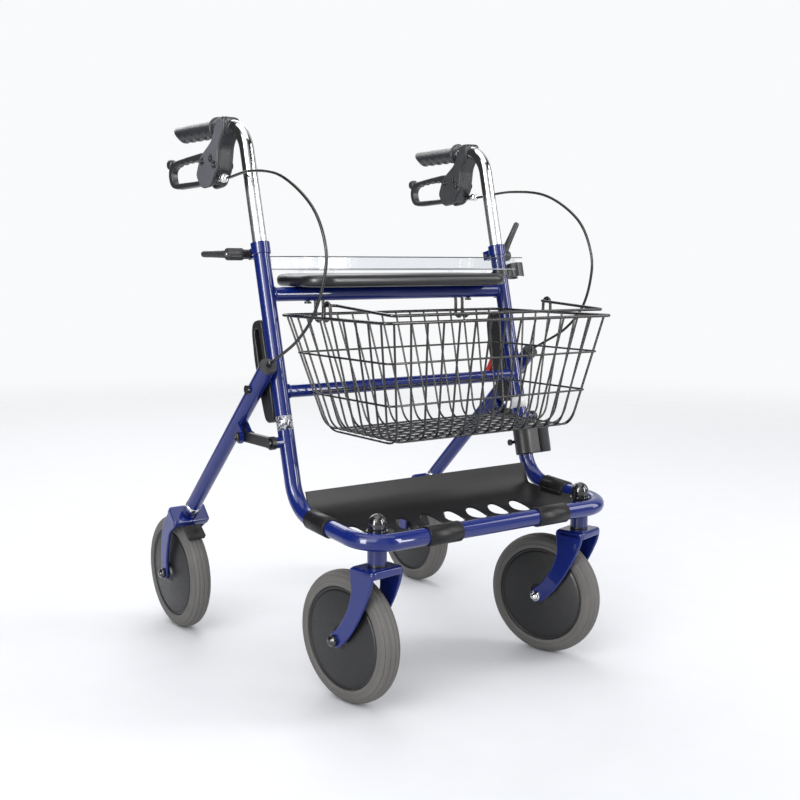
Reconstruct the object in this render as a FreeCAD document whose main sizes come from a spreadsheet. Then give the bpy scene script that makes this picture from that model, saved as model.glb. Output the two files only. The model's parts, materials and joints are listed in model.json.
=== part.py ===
import FreeCAD, Part
import math
import os
import re
import Sketcher
from FreeCAD import Placement, Rotation, Vector

# A folding walking frame on four wheels.
#
# Row frame: +Z up, the floor at Z = 0, the walker faces -Y and its user stands at +Y.
# X = 0 is the middle, +X is the user's left.  Y = 0 is midway between the swivel stems
# of the front casters and the rear axles.  Everything is in millimetres.
#
# Most pieces come in pairs: the left one is built at +X and the right one is its mirror.

doc = FreeCAD.newDocument("walking_frame")
sheet = doc.addObject("Spreadsheet::Sheet", "dims")

DRIVING = {
    # stance and wheels
    "stem_spacing": 396.4,
    "stem_to_axle": 528.0,
    "rear_track": 519.0,
    "wheel_radius": 100.0,
    "tyre_width": 35.0,
    "disc_radius": 78.0,
    "hub_width": 49.6,
    "hub_radius": 12.0,
    "axle_radius": 4.0,
    "axle_head_radius": 8.0,
    "caster_trail": 60.0,
    "caster_turn_left": 15.5,
    "caster_turn_right": 7.65,
    "running_gap": 0.05,
    # tubes of the welded front frame
    "tube_diameter": 25.0,
    "tube_wall": 1.45,
    "upright_spacing": 468.0,
    "upright_slope": 0.25,
    "upright_foot": -172.0,
    "upright_top": 669.0,
    "loop_front": -294.0,
    "loop_height": 258.5,
    "arm_slope": 0.07,
    "foot_bend": 60.0,
    "corner_bend": 48.0,
    "crossbar_height": 448.4,
    "crossbar_diameter": 20.0,
    "seat_bar_height": 592.5,
    "seat_bar_diameter": 22.0,
    "head_tube_radius": 14.0,
    "head_tube_bore": 10.5,
    "head_tube_bottom": 222.5,
    "head_tube_top": 266.0,
    "collar_radius": 14.6,
    "collar_length": 17.0,
    "lug_reach": 24.0,
    "clamp_slit": 3.0,
    "arm_length": 64.0,
    # telescoping handles
    "handle_diameter": 22.0,
    "handle_wall": 1.5,
    "handle_foot": 480.0,
    "handle_height": 845.0,
    "handle_bend": 50.0,
    "handle_end": 218.0,
    "handle_splay": 3.5,
    "left_handle_drop": 13.0,
    "grip_front": 110.0,
    "grip_end": 246.0,
    "grip_radius": 14.0,
    "grip_flange": 18.5,
    "lever_width": 12.5,
    # folding rear legs
    "leg_length": 375.0,
    "leg_angle": 43.9,
    "leg_end_back": -67.3,
    "leg_end_height": 486.2,
    "leg_plane": 260.0,
    "pivot_along_leg": 50.0,
    "clevis_along_leg": 132.0,
    "clevis_below_leg": 28.0,
    "fold_travel": 70.0,
    "link_thickness": 7.6,
    "link_pin_back": -78.3,
    "link_pin_height": 375.0,
    "pin_radius": 4.0,
    # seat, tray, shelf, basket
    "seat_width": 394.0,
    "seat_depth": 140.0,
    "seat_thickness": 20.0,
    "seat_middle": -28.0,
    "seat_corner": 42.0,
    "tray_width": 438.0,
    "tray_depth": 160.0,
    "tray_height": 20.0,
    "tray_wall": 2.5,
    "shelf_width": 438.0,
    "shelf_sheet": 3.0,
    "basket_rim_height": 562.0,
    "basket_floor_height": 388.0,
    "basket_rim_width": 426.0,
    "basket_floor_width": 350.0,
    "basket_rim_front": -306.0,
    "basket_rim_back": -28.0,
    "basket_floor_front": -265.0,
    "basket_floor_back": -96.0,
    "basket_skin": 2.0,
    "bail_pivot_back": -160.0,
    "bail_pivot_height": 580.0,
    "bail_half_width": 198.0,
    "bail_wire": 2.2,
    "hook_spacing": 279.0,
    "hook_wire": 3.0,
    "cane_bore": 15.0,
    "cane_cup_height": 48.0,
    "cane_offset": 36.0,
    "bolt_radius": 3.0,
    "bolt_head_radius": 5.5,
}

for number, (alias, size) in enumerate(DRIVING.items(), start=1):
    sheet.set(f"A{number}", alias)
    sheet.set(f"B{number}", str(size))
    sheet.setAlias(f"B{number}", alias)
doc.recompute()

WORD = re.compile(r"[a-z][a-z_]+")
X_AXIS = Vector(1, 0, 0)
Y_AXIS = Vector(0, 1, 0)
Z_AXIS = Vector(0, 0, 1)
finished = []


def value(formula):
    """The number that a formula of sheet aliases gives."""
    return float(sheet.evalExpression(formula))


def linked(formula):
    """The same formula as the document's other objects write it."""
    return WORD.sub(lambda w: "dims." + w.group() if w.group() in DRIVING else w.group(), formula)


def bind(item, **formulas):
    """Tie properties of an object to cells of the sheet."""
    for name, formula in formulas.items():
        item.setExpression(name, linked(formula))
    return item


def node(item, name):
    """Name a finished piece: its label is the name of its file."""
    item.Label = name
    finished.append(item)
    return item


# ---------------------------------------------------------------- building blocks

def place(item, origin, along=Z_AXIS):
    """Put an object at a point, with its own Z along a direction."""
    item.Placement = Placement(origin, Rotation(Z_AXIS, along))
    return item


def rod(radius, length, start, along=Z_AXIS):
    """A round bar from a start point along a direction."""
    bar = bind(doc.addObject("Part::Cylinder", "rod"), Radius=radius, Height=length)
    return place(bar, start, along)


def cone(radius_start, radius_end, length, start, along=Z_AXIS):
    """A tapered round bar."""
    bar = doc.addObject("Part::Cone", "cone")
    bind(bar, Radius1=radius_start, Radius2=radius_end, Height=length)
    return place(bar, start, along)


def block(size_x, size_y, size_z, centre, turn=Rotation()):
    """A rectangular block about its centre point."""
    box = bind(doc.addObject("Part::Box", "block"), Length=size_x, Width=size_y, Height=size_z)
    half = Vector(value(size_x), value(size_y), value(size_z)) * 0.5
    box.Placement = Placement(centre - turn.multVec(half), turn)
    return box


def joined(*items):
    """Several solids welded or moulded into one."""
    whole = doc.addObject("Part::MultiFuse", "joined")
    whole.Shapes = list(items)
    return whole


def cut(base, *tools):
    """A solid with others taken away from it."""
    if len(tools) > 1:
        tool = joined(*tools)
    else:
        tool = tools[0]
    rest = doc.addObject("Part::Cut", "cut")
    rest.Base = base
    rest.Tool = tool
    return rest


def group(*items):
    """Separate solids that share one node."""
    whole = doc.addObject("Part::Compound", "group")
    whole.Links = list(items)
    return whole


def mirrored(item):
    """The same piece on the other side of the walker."""
    twin = doc.addObject("Part::Mirroring", "mirrored")
    twin.Source = item
    twin.Normal = X_AXIS
    return twin


def pair(item, name):
    """A left piece and its mirror image on the right."""
    node(item, name + "_left")
    node(mirrored(item), name + "_right")


def bent_wire(corners, bend):
    """A wire through corner points with every inner corner rounded to one bend radius."""
    edges = []
    start = corners[0]
    for before, corner, after in zip(corners, corners[1:], corners[2:]):
        inward = (before - corner).normalize()
        outward = (after - corner).normalize()
        half_turn = (math.pi - inward.getAngle(outward)) / 2
        setback = bend * math.tan(half_turn)
        first = corner + inward * setback
        last = corner + outward * setback
        bisector = (inward + outward).normalize()
        middle = corner + bisector * (bend / math.cos(half_turn) - bend)
        edges.append(Part.makeLine(start, first))
        edges.append(Part.Arc(first, middle, last).toShape())
        start = last
    edges.append(Part.makeLine(start, corners[-1]))
    return Part.Wire(edges)


def bar_along(path, radius, label="bar"):
    """A round bar swept along a wire."""
    spine = doc.addObject("Part::Feature", label + "_line")
    spine.Shape = path
    first = path.OrderedEdges[0]
    section = bind(doc.addObject("Part::Circle", label + "_section"), Radius=radius)
    place(section, first.valueAt(first.FirstParameter), first.tangentAt(first.FirstParameter))
    sweep = doc.addObject("Part::Sweep", label)
    sweep.Sections = [section]
    sweep.Spine = (spine, [f"Edge{count + 1}" for count in range(len(path.Edges))])
    sweep.Solid = True
    return sweep


def new_sketch(body, role, points):
    """A closed outline on an origin plane of a body, each corner tied to the sheet."""
    sketch = body.newObject("Sketcher::SketchObject", "outline")
    plane = [item for item in body.Origin.OriginFeatures if item.Role == role][0]
    sketch.AttachmentSupport = (plane, [""])
    sketch.MapMode = "FlatFace"
    numbers = [(value(across), value(up)) for across, up in points]
    for here, following in zip(numbers, numbers[1:] + numbers[:1]):
        sketch.addGeometry(Part.LineSegment(Vector(*here, 0), Vector(*following, 0)), False)
    for index in range(len(points)):
        sketch.addConstraint(Sketcher.Constraint("Coincident", index, 2, (index + 1) % len(points), 1))
    for index, corner in enumerate(points):
        for kind, formula in zip(("DistanceX", "DistanceY"), corner):
            limit = Sketcher.Constraint(kind, -1, 1, index, 1, value(formula))
            row = sketch.addConstraint(limit)
            if WORD.search(formula):
                sketch.setExpression(f"Constraints[{row}]", linked(formula))
    return sketch


def padded(points, thickness, role="XY_Plane", rounding=None, centred=True):
    """A body made from one outline, with its upright edges rounded if asked."""
    body = doc.addObject("PartDesign::Body", "body")
    pad = body.newObject("PartDesign::Pad", "pad")
    pad.Profile = new_sketch(body, role, points)
    pad.Midplane = centred
    bind(pad, Length=thickness)
    doc.recompute()
    if rounding:
        normal = {"XY_Plane": Z_AXIS, "XZ_Plane": Y_AXIS, "YZ_Plane": X_AXIS}[role]
        names = []
        for count, edge in enumerate(pad.Shape.Edges, start=1):
            if edge.Curve.TypeId == "Part::GeomLine":
                if abs(edge.tangentAt(edge.FirstParameter).dot(normal)) > 0.99:
                    names.append(f"Edge{count}")
        fillet = body.newObject("PartDesign::Fillet", "fillet")
        fillet.Base = (pad, names)
        bind(fillet, Radius=rounding)
        doc.recompute()
    return body


def turned(points):
    """A body revolved about its local X axis from an outline of (along, out) points."""
    body = doc.addObject("PartDesign::Body", "body")
    sketch = new_sketch(body, "XY_Plane", points)
    lathe = body.newObject("PartDesign::Revolution", "lathe")
    lathe.Profile = sketch
    lathe.ReferenceAxis = (sketch, ["H_Axis"])
    lathe.Angle = 360
    doc.recompute()
    return body


# ---------------------------------------------------------------- shared places and directions

def on_upright(height, side=1):
    """The point of an upright's centre line at a height."""
    back = value("upright_foot") + value("upright_slope") * height
    return Vector(side * value("upright_spacing") / 2, back, height)


LEAN = Vector(0, value("upright_slope"), 1).normalize()
BEHIND = Vector(0, LEAN.z, -LEAN.y)

angle = math.radians(value("leg_angle"))
DOWN_LEG = Vector(0, math.cos(angle), -math.sin(angle))
UNDER_LEG = Vector(0, -math.sin(angle), -math.cos(angle))
LEG_END = Vector(value("leg_plane"), value("leg_end_back"), value("leg_end_height"))


def on_leg(distance, below=0.0):
    """A point at a distance down a rear leg, and off its underside."""
    return LEG_END + DOWN_LEG * distance + UNDER_LEG * below


FOLD_PIVOT = on_leg(value("pivot_along_leg"))
CLEVIS = on_leg(value("clevis_along_leg"), value("clevis_below_leg"))
LINK_PIN = Vector(value("leg_plane"), value("link_pin_back"), value("link_pin_height"))
REAR_AXLE = Vector(value("rear_track / 2"), value("stem_to_axle / 2"), value("wheel_radius"))
SEAT_BAR = on_upright(value("seat_bar_height")) + Y_AXIS * 4
CLAMP_PIN = on_upright(658) + BEHIND * value("lug_reach")


def stem(side):
    """The foot of a caster's swivel axis."""
    return Vector(side * value("stem_spacing / 2"), -value("stem_to_axle / 2"), 0)


def arm_height(back):
    """The height of the lower loop's side arms."""
    return value("loop_height") + value("arm_slope") * (back - value("loop_front"))


# ---------------------------------------------------------------- welded front frame

def frame_line():
    """The one long tube: an upright, the loop around the front, and the other upright."""
    slope = value("upright_slope")
    foot = value("upright_foot")
    height = arm_height(foot) / (1 - value("arm_slope") * slope)
    knee = on_upright(height)
    toe = Vector(knee.x, value("loop_front"), value("loop_height"))
    left = [on_upright(value("upright_top")), knee, toe]
    right = [Vector(-point.x, point.y, point.z) for point in reversed(left)]
    return left + right


def rounded_frame_line():
    """The same tube with wide bends at the feet and tighter ones at the front corners."""
    points = frame_line()
    corner = value("corner_bend")
    foot = value("foot_bend")
    half_way = (points[1] + points[2]) * 0.5
    other_half = Vector(-half_way.x, half_way.y, half_way.z)
    parts = [bent_wire([points[0], points[1], half_way], foot),
             bent_wire([half_way, points[2], points[3], other_half], corner),
             bent_wire([other_half, points[4], points[5]], foot)]
    return Part.Wire([edge for part in parts for edge in part.OrderedEdges])


def under_seat(side):
    """Where a seat bolt enters the seat bar from below."""
    return Vector(side * 160, SEAT_BAR.y, SEAT_BAR.z - value("seat_bar_diameter / 2"))


def front_frame():
    line = rounded_frame_line()
    outside = [bar_along(line, "tube_diameter / 2", "frame_tube")]
    inside = [bar_along(line, "tube_diameter / 2 - tube_wall", "frame_bore")]
    bars = [("crossbar_diameter / 2", on_upright(value("crossbar_height"))),
            ("seat_bar_diameter / 2", SEAT_BAR)]
    for radius, end in bars:
        start = Vector(-end.x + 3, end.y, end.z)
        outside.append(rod(radius, "upright_spacing - 6", start, X_AXIS))
    for side in (1, -1):
        foot = stem(side) + Z_AXIS * value("head_tube_bottom")
        outside.append(rod("head_tube_radius", "head_tube_top - head_tube_bottom", foot))
        inside.append(rod("head_tube_bore", "head_tube_top - head_tube_bottom + 20", foot - Z_AXIS * 10))
        collar = on_upright(value("upright_top"), side) - LEAN * value("collar_length")
        outside.append(rod("collar_radius", "collar_length", collar, LEAN))
        lug = Vector(side * CLAMP_PIN.x, CLAMP_PIN.y, CLAMP_PIN.z)
        turn = Rotation(Z_AXIS, LEAN)
        outside.append(block("13", "20", "15", lug - BEHIND * 4, turn))
        inside.append(block("clamp_slit", "30", "30", lug, turn))
        inside.append(rod("bolt_radius + running_gap", "30", lug - X_AXIS * 15, X_AXIS))
        boss = Vector(side * (LINK_PIN.x - 4.5), LINK_PIN.y, LINK_PIN.z)
        outside.append(rod("8.5", "14", boss, X_AXIS * -side))
        inside.append(rod("pin_radius", "14", boss, X_AXIS * -side))
        inside.append(rod("bolt_radius", "60", under_seat(side) - Z_AXIS * 5))
    node(cut(joined(*outside), joined(*inside)), "front_frame")


def caster_bushes():
    """A flanged bush at the bottom and a plain one at the top of each head tube."""
    bushes = []
    for side in (1, -1):
        for base, length in ((value("head_tube_bottom"), 15), (value("head_tube_top") - 15, 15)):
            bushes.append(rod("head_tube_bore", str(length), stem(side) + Z_AXIS * base))
        bushes[-2] = joined(bushes[-2], rod("head_tube_radius", "3", stem(side) + Z_AXIS * 219.5))
    hollow = [cut(bush, rod("6 + running_gap", "60", stem(-1 if count > 1 else 1) + Z_AXIS * 215))
              for count, bush in enumerate(bushes)]
    node(group(*hollow), "caster_bushes")


def dome_caps():
    """Round caps that close the tops of the head tubes."""
    caps = []
    for side in (1, -1):
        base = stem(side) + Z_AXIS * (value("head_tube_top") + 0.2)
        ball = bind(doc.addObject("Part::Sphere", "ball"), Radius="13.5")
        ball.Placement = Placement(base + Z_AXIS * 14.6, Rotation())
        skirt = rod("15.6", "4.5", base)
        neck = rod("13.5", "14.6", base)
        below = block("60", "60", "30", base - Z_AXIS * 15)
        caps.append(cut(joined(ball, neck, skirt), below))
    node(group(*caps), "dome_caps")


# ---------------------------------------------------------------- wheels and casters

def tyre_and_disc(name, centre, turn):
    """One wheel: a grey tyre on a black disc, turning on a bolt."""
    half = "tyre_width / 2"
    outside = [("disc_radius", "0"), ("wheel_radius - 9", "0"), ("wheel_radius - 3.2", "2.6"),
               ("wheel_radius - 0.5", "8"), ("wheel_radius", "13.5")]
    tyre = turned([(f"{half} - {step}", out) for out, step in outside]
                  + [(f"{step} - {half}", out) for out, step in reversed(outside)])
    dome = [("hub_width / 2", "axle_radius + running_gap"), ("hub_width / 2", "hub_radius"),
            ("hub_width / 2 - 7", "hub_radius + 5"), (f"{half} - 4", "disc_radius - 12"),
            (f"{half} - 2", "disc_radius - 0.02")]
    disc = turned(dome + [(f"-({along})", out) for along, out in reversed(dome)])
    for item, kind in ((tyre, "tyre"), (disc, "wheel_disc")):
        item.Placement = Placement(centre, turn)
        node(item, f"{kind}_{name}")


def axle_bolt(name, centre, turn):
    """The bolt through a fork and its wheel, with a head and a cap nut."""
    outward = turn.multVec(X_AXIS)
    shank = rod("axle_radius", "64", centre - outward * 32, outward)
    head = rod("axle_head_radius", "9", centre + outward * 30.6, outward)
    nut = rod("axle_head_radius", "9", centre - outward * 30.6, outward * -1)
    node(joined(shank, head, nut), f"axle_bolt_{name}")


BLADE_INSIDE = 25.0
BLADE_THICKNESS = "5.5"


def caster_fork(name, side, turn_alias):
    """A front fork with its swivel pin; it trails behind the stem."""
    blade = [("-24", "219"), ("26", "219"), ("24", "204"), ("21", "181"), ("31", "153"), ("52", "123"),
             ("caster_trail + 10", "wheel_radius + 8"), ("caster_trail + 11", "wheel_radius - 4"),
             ("caster_trail + 3", "wheel_radius - 11"), ("caster_trail - 10", "wheel_radius - 9"),
             ("38", "101"), ("22", "119"), ("7", "141"), ("-9", "170"), ("-22", "200")]
    turn = Rotation(Z_AXIS, value(turn_alias))
    home = Placement(stem(side), turn)
    parts = []
    for sign in (1, -1):
        plate = padded(blade, BLADE_THICKNESS, role="YZ_Plane")
        shift = Vector(sign * (BLADE_INSIDE + value(BLADE_THICKNESS) / 2), 0, 0)
        plate.Placement = home.multiply(Placement(shift, Rotation()))
        parts.append(plate)
    crown = block("61", "46", "13", home.multVec(Vector(0, 1, 212.5)), turn)
    pin = rod("6", "44", home.multVec(Vector(0, 0, 218)))
    parts += [crown, pin]
    wheel = home.multVec(Vector(0, value("caster_trail"), value("wheel_radius")))
    sideways = turn.multVec(X_AXIS)
    hole = rod("axle_radius", "80", wheel - sideways * 40, sideways)
    node(cut(joined(*parts), hole), f"front_fork_{name}")
    tyre_and_disc(f"front_{name}", wheel, turn)
    axle_bolt(f"front_{name}", wheel, turn)


# ---------------------------------------------------------------- folding rear legs

LOCAL_LEG = Rotation(X_AXIS, DOWN_LEG, Vector(), "XYZ")


def rear_leg():
    """A round leg tube with a clevis on its underside for the folding link."""
    tube = rod("tube_diameter / 2", "leg_length", LEG_END, DOWN_LEG)
    ears = []
    for side in (-1, 1):
        plate = block("3", "24", "clevis_below_leg", CLEVIS - UNDER_LEG * 11 + X_AXIS * side * 7.5, LOCAL_LEG)
        tip = rod("11", "3", CLEVIS + X_AXIS * (side * 7.5 - 1.5), X_AXIS)
        stub = rod("7", "3.6", CLEVIS + X_AXIS * (side * 9), X_AXIS * side)
        ears += [plate, tip, stub]
    bore = rod("tube_diameter / 2 - 2", "leg_length + 20", LEG_END - DOWN_LEG * 10, DOWN_LEG)
    pivot = rod("pin_radius + running_gap", "40", FOLD_PIVOT - X_AXIS * 20, X_AXIS)
    pair(cut(joined(tube, *ears), bore, pivot), "rear_leg")


def leg_plug():
    """The round end plug of a leg, with the hole that the brake cable goes into."""
    cap = rod("tube_diameter / 2 + 0.4", "7", LEG_END - DOWN_LEG * 7, DOWN_LEG)
    spigot = rod("tube_diameter / 2 - 2.05", "24", LEG_END - DOWN_LEG * 4, DOWN_LEG)
    hole = rod("4", "60", LEG_END - DOWN_LEG * 20, DOWN_LEG)
    pair(cut(joined(cap, spigot), hole), "leg_plug")


def rear_fork():
    """The fixed fork on a leg's spigot; its curved blades reach down to the axle."""
    top = on_leg(value("leg_length") + 18)
    bottom = top + DOWN_LEG * 14
    crown = block("66", "14", "34", top + DOWN_LEG * 7, LOCAL_LEG)
    spigot = rod("9.5", "40", top - DOWN_LEG * 30, DOWN_LEG)
    outline = [top - UNDER_LEG * 17, top + UNDER_LEG * 17, bottom + UNDER_LEG * 17]
    outline += [REAR_AXLE + Vector(0, back, up) for back, up in
                ((-28, 78), (-16, 50), (-10, 22), (-11, 0), (-7, -10),
                 (6, -10), (11, 0), (13, 25), (8, 60), (-2, 90))]
    outline.append(bottom - UNDER_LEG * 17)
    points = [(f"{point.y:.3f}", f"{point.z:.3f}") for point in outline]
    blades = []
    for side in (-1, 1):
        plate = padded(points, BLADE_THICKNESS, role="YZ_Plane")
        shift = REAR_AXLE.x + side * (BLADE_INSIDE + value(BLADE_THICKNESS) / 2)
        plate.Placement = Placement(Vector(shift, 0, 0), Rotation())
        blades.append(plate)
    guide = block("26", "32", "5", SHOE_SEAT + SHOE_OUT * 12.5 + SHOE_TURN.multVec(Y_AXIS) * 6, SHOE_TURN)
    guide_hole = rod("3 + running_gap", "40", SHOE_SEAT, SHOE_OUT)
    hole = rod("axle_radius", "80", REAR_AXLE - X_AXIS * 40, X_AXIS)
    pair(cut(joined(crown, spigot, guide, *blades), hole, guide_hole), "rear_fork")


shoe_angle = math.radians(129)
SHOE_OUT = Vector(0, math.cos(shoe_angle), math.sin(shoe_angle))
SHOE_SEAT = Vector(value("leg_plane"), REAR_AXLE.y, REAR_AXLE.z) + SHOE_OUT * (value("wheel_radius") + 2.2)
SHOE_TURN = Rotation(X_AXIS, Vector(), SHOE_OUT, "ZXY")


def brake_shoe():
    """A block in front of the fork's crown that is pressed against the tyre."""
    pad = block("30", "24", "8", SHOE_SEAT + SHOE_OUT * 4, SHOE_TURN)
    stem_rod = rod("3", "16", SHOE_SEAT + SHOE_OUT * 6, SHOE_OUT)
    pair(joined(pad, stem_rod), "brake_shoe")


def folding_link():
    """The flat black bar between the upright and the leg."""
    middle = (LINK_PIN + CLEVIS) * 0.5
    reach = CLEVIS - LINK_PIN
    turn = Rotation(X_AXIS, reach, Vector(), "XYZ")
    half = X_AXIS * value("link_thickness / 2")
    bar = block("link_thickness", str(round(reach.Length, 3)), "15.5", middle, turn)
    eyes = [rod(radius, "link_thickness", end - half, X_AXIS)
            for radius, end in (("10", LINK_PIN), ("7.9", CLEVIS))]
    holes = [rod("pin_radius + running_gap", "30", end - X_AXIS * 15, X_AXIS)
             for end in (LINK_PIN, CLEVIS)]
    pair(cut(joined(bar, *eyes), *holes), "folding_link")


# ---------------------------------------------------------------- folding guides behind the uprights

def guide_point(up, behind):
    """A point of the guide, measured along and behind the upright from the fold pivot."""
    return FOLD_PIVOT + LEAN * up + BEHIND * behind


def guide_plate(outline, inner, outer):
    """A plate between two distances from the walker's middle, in the guide's own outline."""
    points = [guide_point(up, behind) for up, behind in outline]
    corners = [(f"{point.y:.3f}", f"{point.z:.3f}") for point in points]
    plate = padded(corners, str(outer - inner), role="YZ_Plane", rounding="4")
    plate.Placement = Placement(Vector((inner + outer) / 2, 0, 0), Rotation())
    return plate


LATCH_PIN = (35, 12)


def latch_housing():
    """The long guide that the leg's pivot slides in, moulded around a slot."""
    body = guide_plate([(-50, -18), (-50, 11), (0, 15), (50, 17), (102, 14), (102, -18)], 222.6, 246.3)
    clear = rod("tube_diameter / 2 + 0.1", "300", on_upright(360), LEAN)
    slot_end = value("fold_travel") + 21
    slot = guide_plate([(-10, -7.3), (-10, 7.3), (slot_end, 7.3), (slot_end, -7.3)], 229.0, 250.0)
    gap = guide_plate([(0, 7.0), (0, 60), (52, 60), (52, 7.0)], 228.6, 239.4)
    bar = rod("crossbar_diameter / 2 + 0.1", "40", on_upright(value("crossbar_height")) - X_AXIS * 30, X_AXIS)
    pin = rod("2", "20", guide_point(*LATCH_PIN) + X_AXIS * (224 - FOLD_PIVOT.x), X_AXIS)
    pair(joined(cut(body, clear, bar, slot, gap), pin), "latch_housing")


def latch_lever():
    """The red lever that frees the pivot so that the leg can fold."""
    outline = [(41, 10.5), (41, 20), (26, 28), (6, 46), (0, 40), (20, 20), (28, 10.5)]
    plate = guide_plate(outline, 229.4, 238.6)
    pin = rod("2 + running_gap", "30", guide_point(*LATCH_PIN) + X_AXIS * (220 - FOLD_PIVOT.x), X_AXIS)
    pair(cut(plate, pin), "latch_lever")


def pivot_slider():
    """The block in the guide's slot, with the stud that the leg turns on."""
    body = guide_plate([(-9.5, -7.2), (-9.5, 7.2), (9.5, 7.2), (9.5, -7.2)], 229.1, 246.0)
    stud = rod("pin_radius", "36", FOLD_PIVOT - X_AXIS * 20, X_AXIS)
    head = rod("7", "4", FOLD_PIVOT + X_AXIS * 12.8, X_AXIS)
    pair(joined(body, stud, head), "pivot_slider")


# ---------------------------------------------------------------- handles and brakes

def handle_line():
    top = on_upright(value("handle_height"))
    return [on_upright(value("handle_foot")), top, Vector(top.x, value("handle_end"), top.z)]


HANDLE_AXIS = Vector(value("upright_spacing") / 2, 0, value("handle_height"))
SPLAY = Placement(Vector(), Rotation(LEAN, -value("handle_splay")), on_upright(0))
LOWER = Placement(LEAN * -value("left_handle_drop"), Rotation())


def on_handle(back):
    """A point on the straight rear part of a handle tube."""
    return HANDLE_AXIS + Y_AXIS * back


def handle_pair(item, name):
    """A handle piece on both sides: both handles splay outwards and the left is set lower."""
    left = group(item)
    left.Placement = LOWER.multiply(SPLAY)
    node(left, name + "_left")
    splayed = group(item)
    splayed.Placement = SPLAY
    node(mirrored(splayed), name + "_right")


def handle_tube():
    line = bent_wire(handle_line(), value("handle_bend"))
    outside = bar_along(line, "handle_diameter / 2", "handle_tube")
    inside = bar_along(line, "handle_diameter / 2 - handle_wall", "handle_bore")
    handle_pair(cut(outside, inside), "handle_tube")


def grip():
    """A rubber grip with a flange at its front and a slanting rear end."""
    flange = rod("grip_flange", "7", on_handle(value("grip_front")), Y_AXIS)
    sleeve = rod("grip_radius", "grip_end - grip_front", on_handle(value("grip_front")), Y_AXIS)
    length = "handle_end - grip_front + 0.1"
    bore = rod("handle_diameter / 2 + 0.02", length, on_handle(value("grip_front")), Y_AXIS)
    slope = Rotation(X_AXIS, -38)
    middle = on_handle(value("grip_end") - 11)
    slant = block("60", "60", "90", middle + slope.multVec(Y_AXIS) * 30, slope)
    handle_pair(cut(joined(flange, sleeve), bore, slant), "grip")


HOUSING_MIDDLE = 235.8
HOUSING_THICKNESS = 29
HOUSING_SCREWS = ((110, 799), (100, 789))
LEVER_PIVOT = (137, 796)
CABLE_EXIT = Vector(245, 72, 768)


def beside(plane, point):
    """A point in a plane parallel to the walker's middle."""
    return Vector(plane, *point)


def in_housing(outline, thickness, rounding=None):
    """A plate in the middle plane of a brake housing."""
    points = [(str(back), str(up)) for back, up in outline]
    plate = padded(points, thickness, role="YZ_Plane", rounding=rounding)
    plate.Placement = Placement(Vector(HOUSING_MIDDLE, 0, 0), Rotation())
    return plate


def brake_housing():
    """The moulded body under the handle tube that carries the brake lever."""
    body = in_housing([(70, 859), (99, 859), (119, 824), (151, 804), (159, 773), (143, 754), (110, 758),
                       (94, 782), (88, 818), (72, 840)], str(HOUSING_THICKNESS), "6")
    line = bent_wire(handle_line(), value("handle_bend"))
    room = bar_along(line, "handle_diameter / 2 + 0.02", "tube_room")
    grip_room = rod("grip_flange + 0.2", "80", on_handle(value("grip_front") - 0.1), Y_AXIS)
    slot = in_housing([(116, 750), (116, 816), (190, 816), (190, 750)], "lever_width + 1")
    spots = HOUSING_SCREWS + (LEVER_PIVOT,)
    holes = [rod("bolt_radius", "60", beside(205, spot), X_AXIS) for spot in spots]
    barrel = rod("4.5", "40", CABLE_EXIT, Y_AXIS)
    handle_pair(cut(body, room, grip_room, slot, barrel, *holes), "brake_housing")


def lever_screws():
    """Three equal screws: two close the housing and one is the lever's pivot."""
    face = HOUSING_MIDDLE + HOUSING_THICKNESS / 2
    screws = []
    for spot in HOUSING_SCREWS + (LEVER_PIVOT,):
        shank = rod("bolt_radius", "27", beside(face - 27, spot), X_AXIS)
        head = rod("bolt_head_radius", "3", beside(face, spot), X_AXIS)
        screws.append(joined(shank, head))
    handle_pair(group(*screws), "lever_screws")


def brake_lever():
    """A closed loop: the fingers go through it, and it ends in a knob."""
    loop = in_housing([(126, 786), (128, 804), (150, 812), (244, 804), (264, 799), (268, 782), (260, 762),
                       (240, 758), (160, 760), (130, 770)], "lever_width", "5")
    window = in_housing([(164, 772), (164, 797), (238, 792), (251, 785), (247, 771)], "30", "4")
    knob = rod("8", "lever_width", beside(HOUSING_MIDDLE - value("lever_width") / 2, (266, 799)), X_AXIS)
    hole = rod("bolt_radius + running_gap", "60", beside(205, LEVER_PIVOT), X_AXIS)
    handle_pair(cut(joined(loop, knob), window, hole), "brake_lever")


def cable_adjuster():
    """The threaded barrel that a brake cable leaves the housing through."""
    barrel = rod("4.5", "36", CABLE_EXIT, Y_AXIS)
    collar = rod("6.5", "8", CABLE_EXIT + Y_AXIS * 6, Y_AXIS)
    bore = rod("2.6", "60", CABLE_EXIT - Y_AXIS * 10, Y_AXIS)
    handle_pair(cut(joined(barrel, collar), bore), "cable_adjuster")


def brake_cable(name, side, drop):
    """The cable's free loop, from in front of the housing to just above the leg's end plug."""
    loop = [(248.5, 64, 768, 1.0), (254, -20, 773, 0.9), (255, -108, 761, 0.8), (252, -186, 716, 0.5),
            (251, -219, 660, 0.3), (254, -216, 612, 0.1), (258, -194, 566, 0), (260, -154, 531, 0),
            (260, -96, 503, 0)]
    curve = Part.BSplineCurve()
    curve.interpolate([Vector(side * out, back, up - drop * share) for out, back, up, share in loop])
    node(bar_along(Part.Wire([curve.toShape()]), "2.5", "cable"), f"brake_cable_{name}")


def clamp_lever(name, side, arm):
    """The lever that tightens a collar around a handle tube, on its own threaded bolt."""
    centre = Vector(side * CLAMP_PIN.x, CLAMP_PIN.y, CLAMP_PIN.z)
    outward = X_AXIS * side
    bolt = rod("bolt_radius", "24", centre - outward * 9, outward)
    neck = rod("7", "14", centre + outward * 7, outward)
    hub = rod("9.5", "26", centre + outward * 20, outward)
    slanted = arm * 0.927 + outward * 0.375
    shaft = cone("6", "4.2", "arm_length", centre + outward * 33, slanted)
    node(joined(bolt, neck, hub, shaft), f"clamp_lever_{name}")


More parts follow.
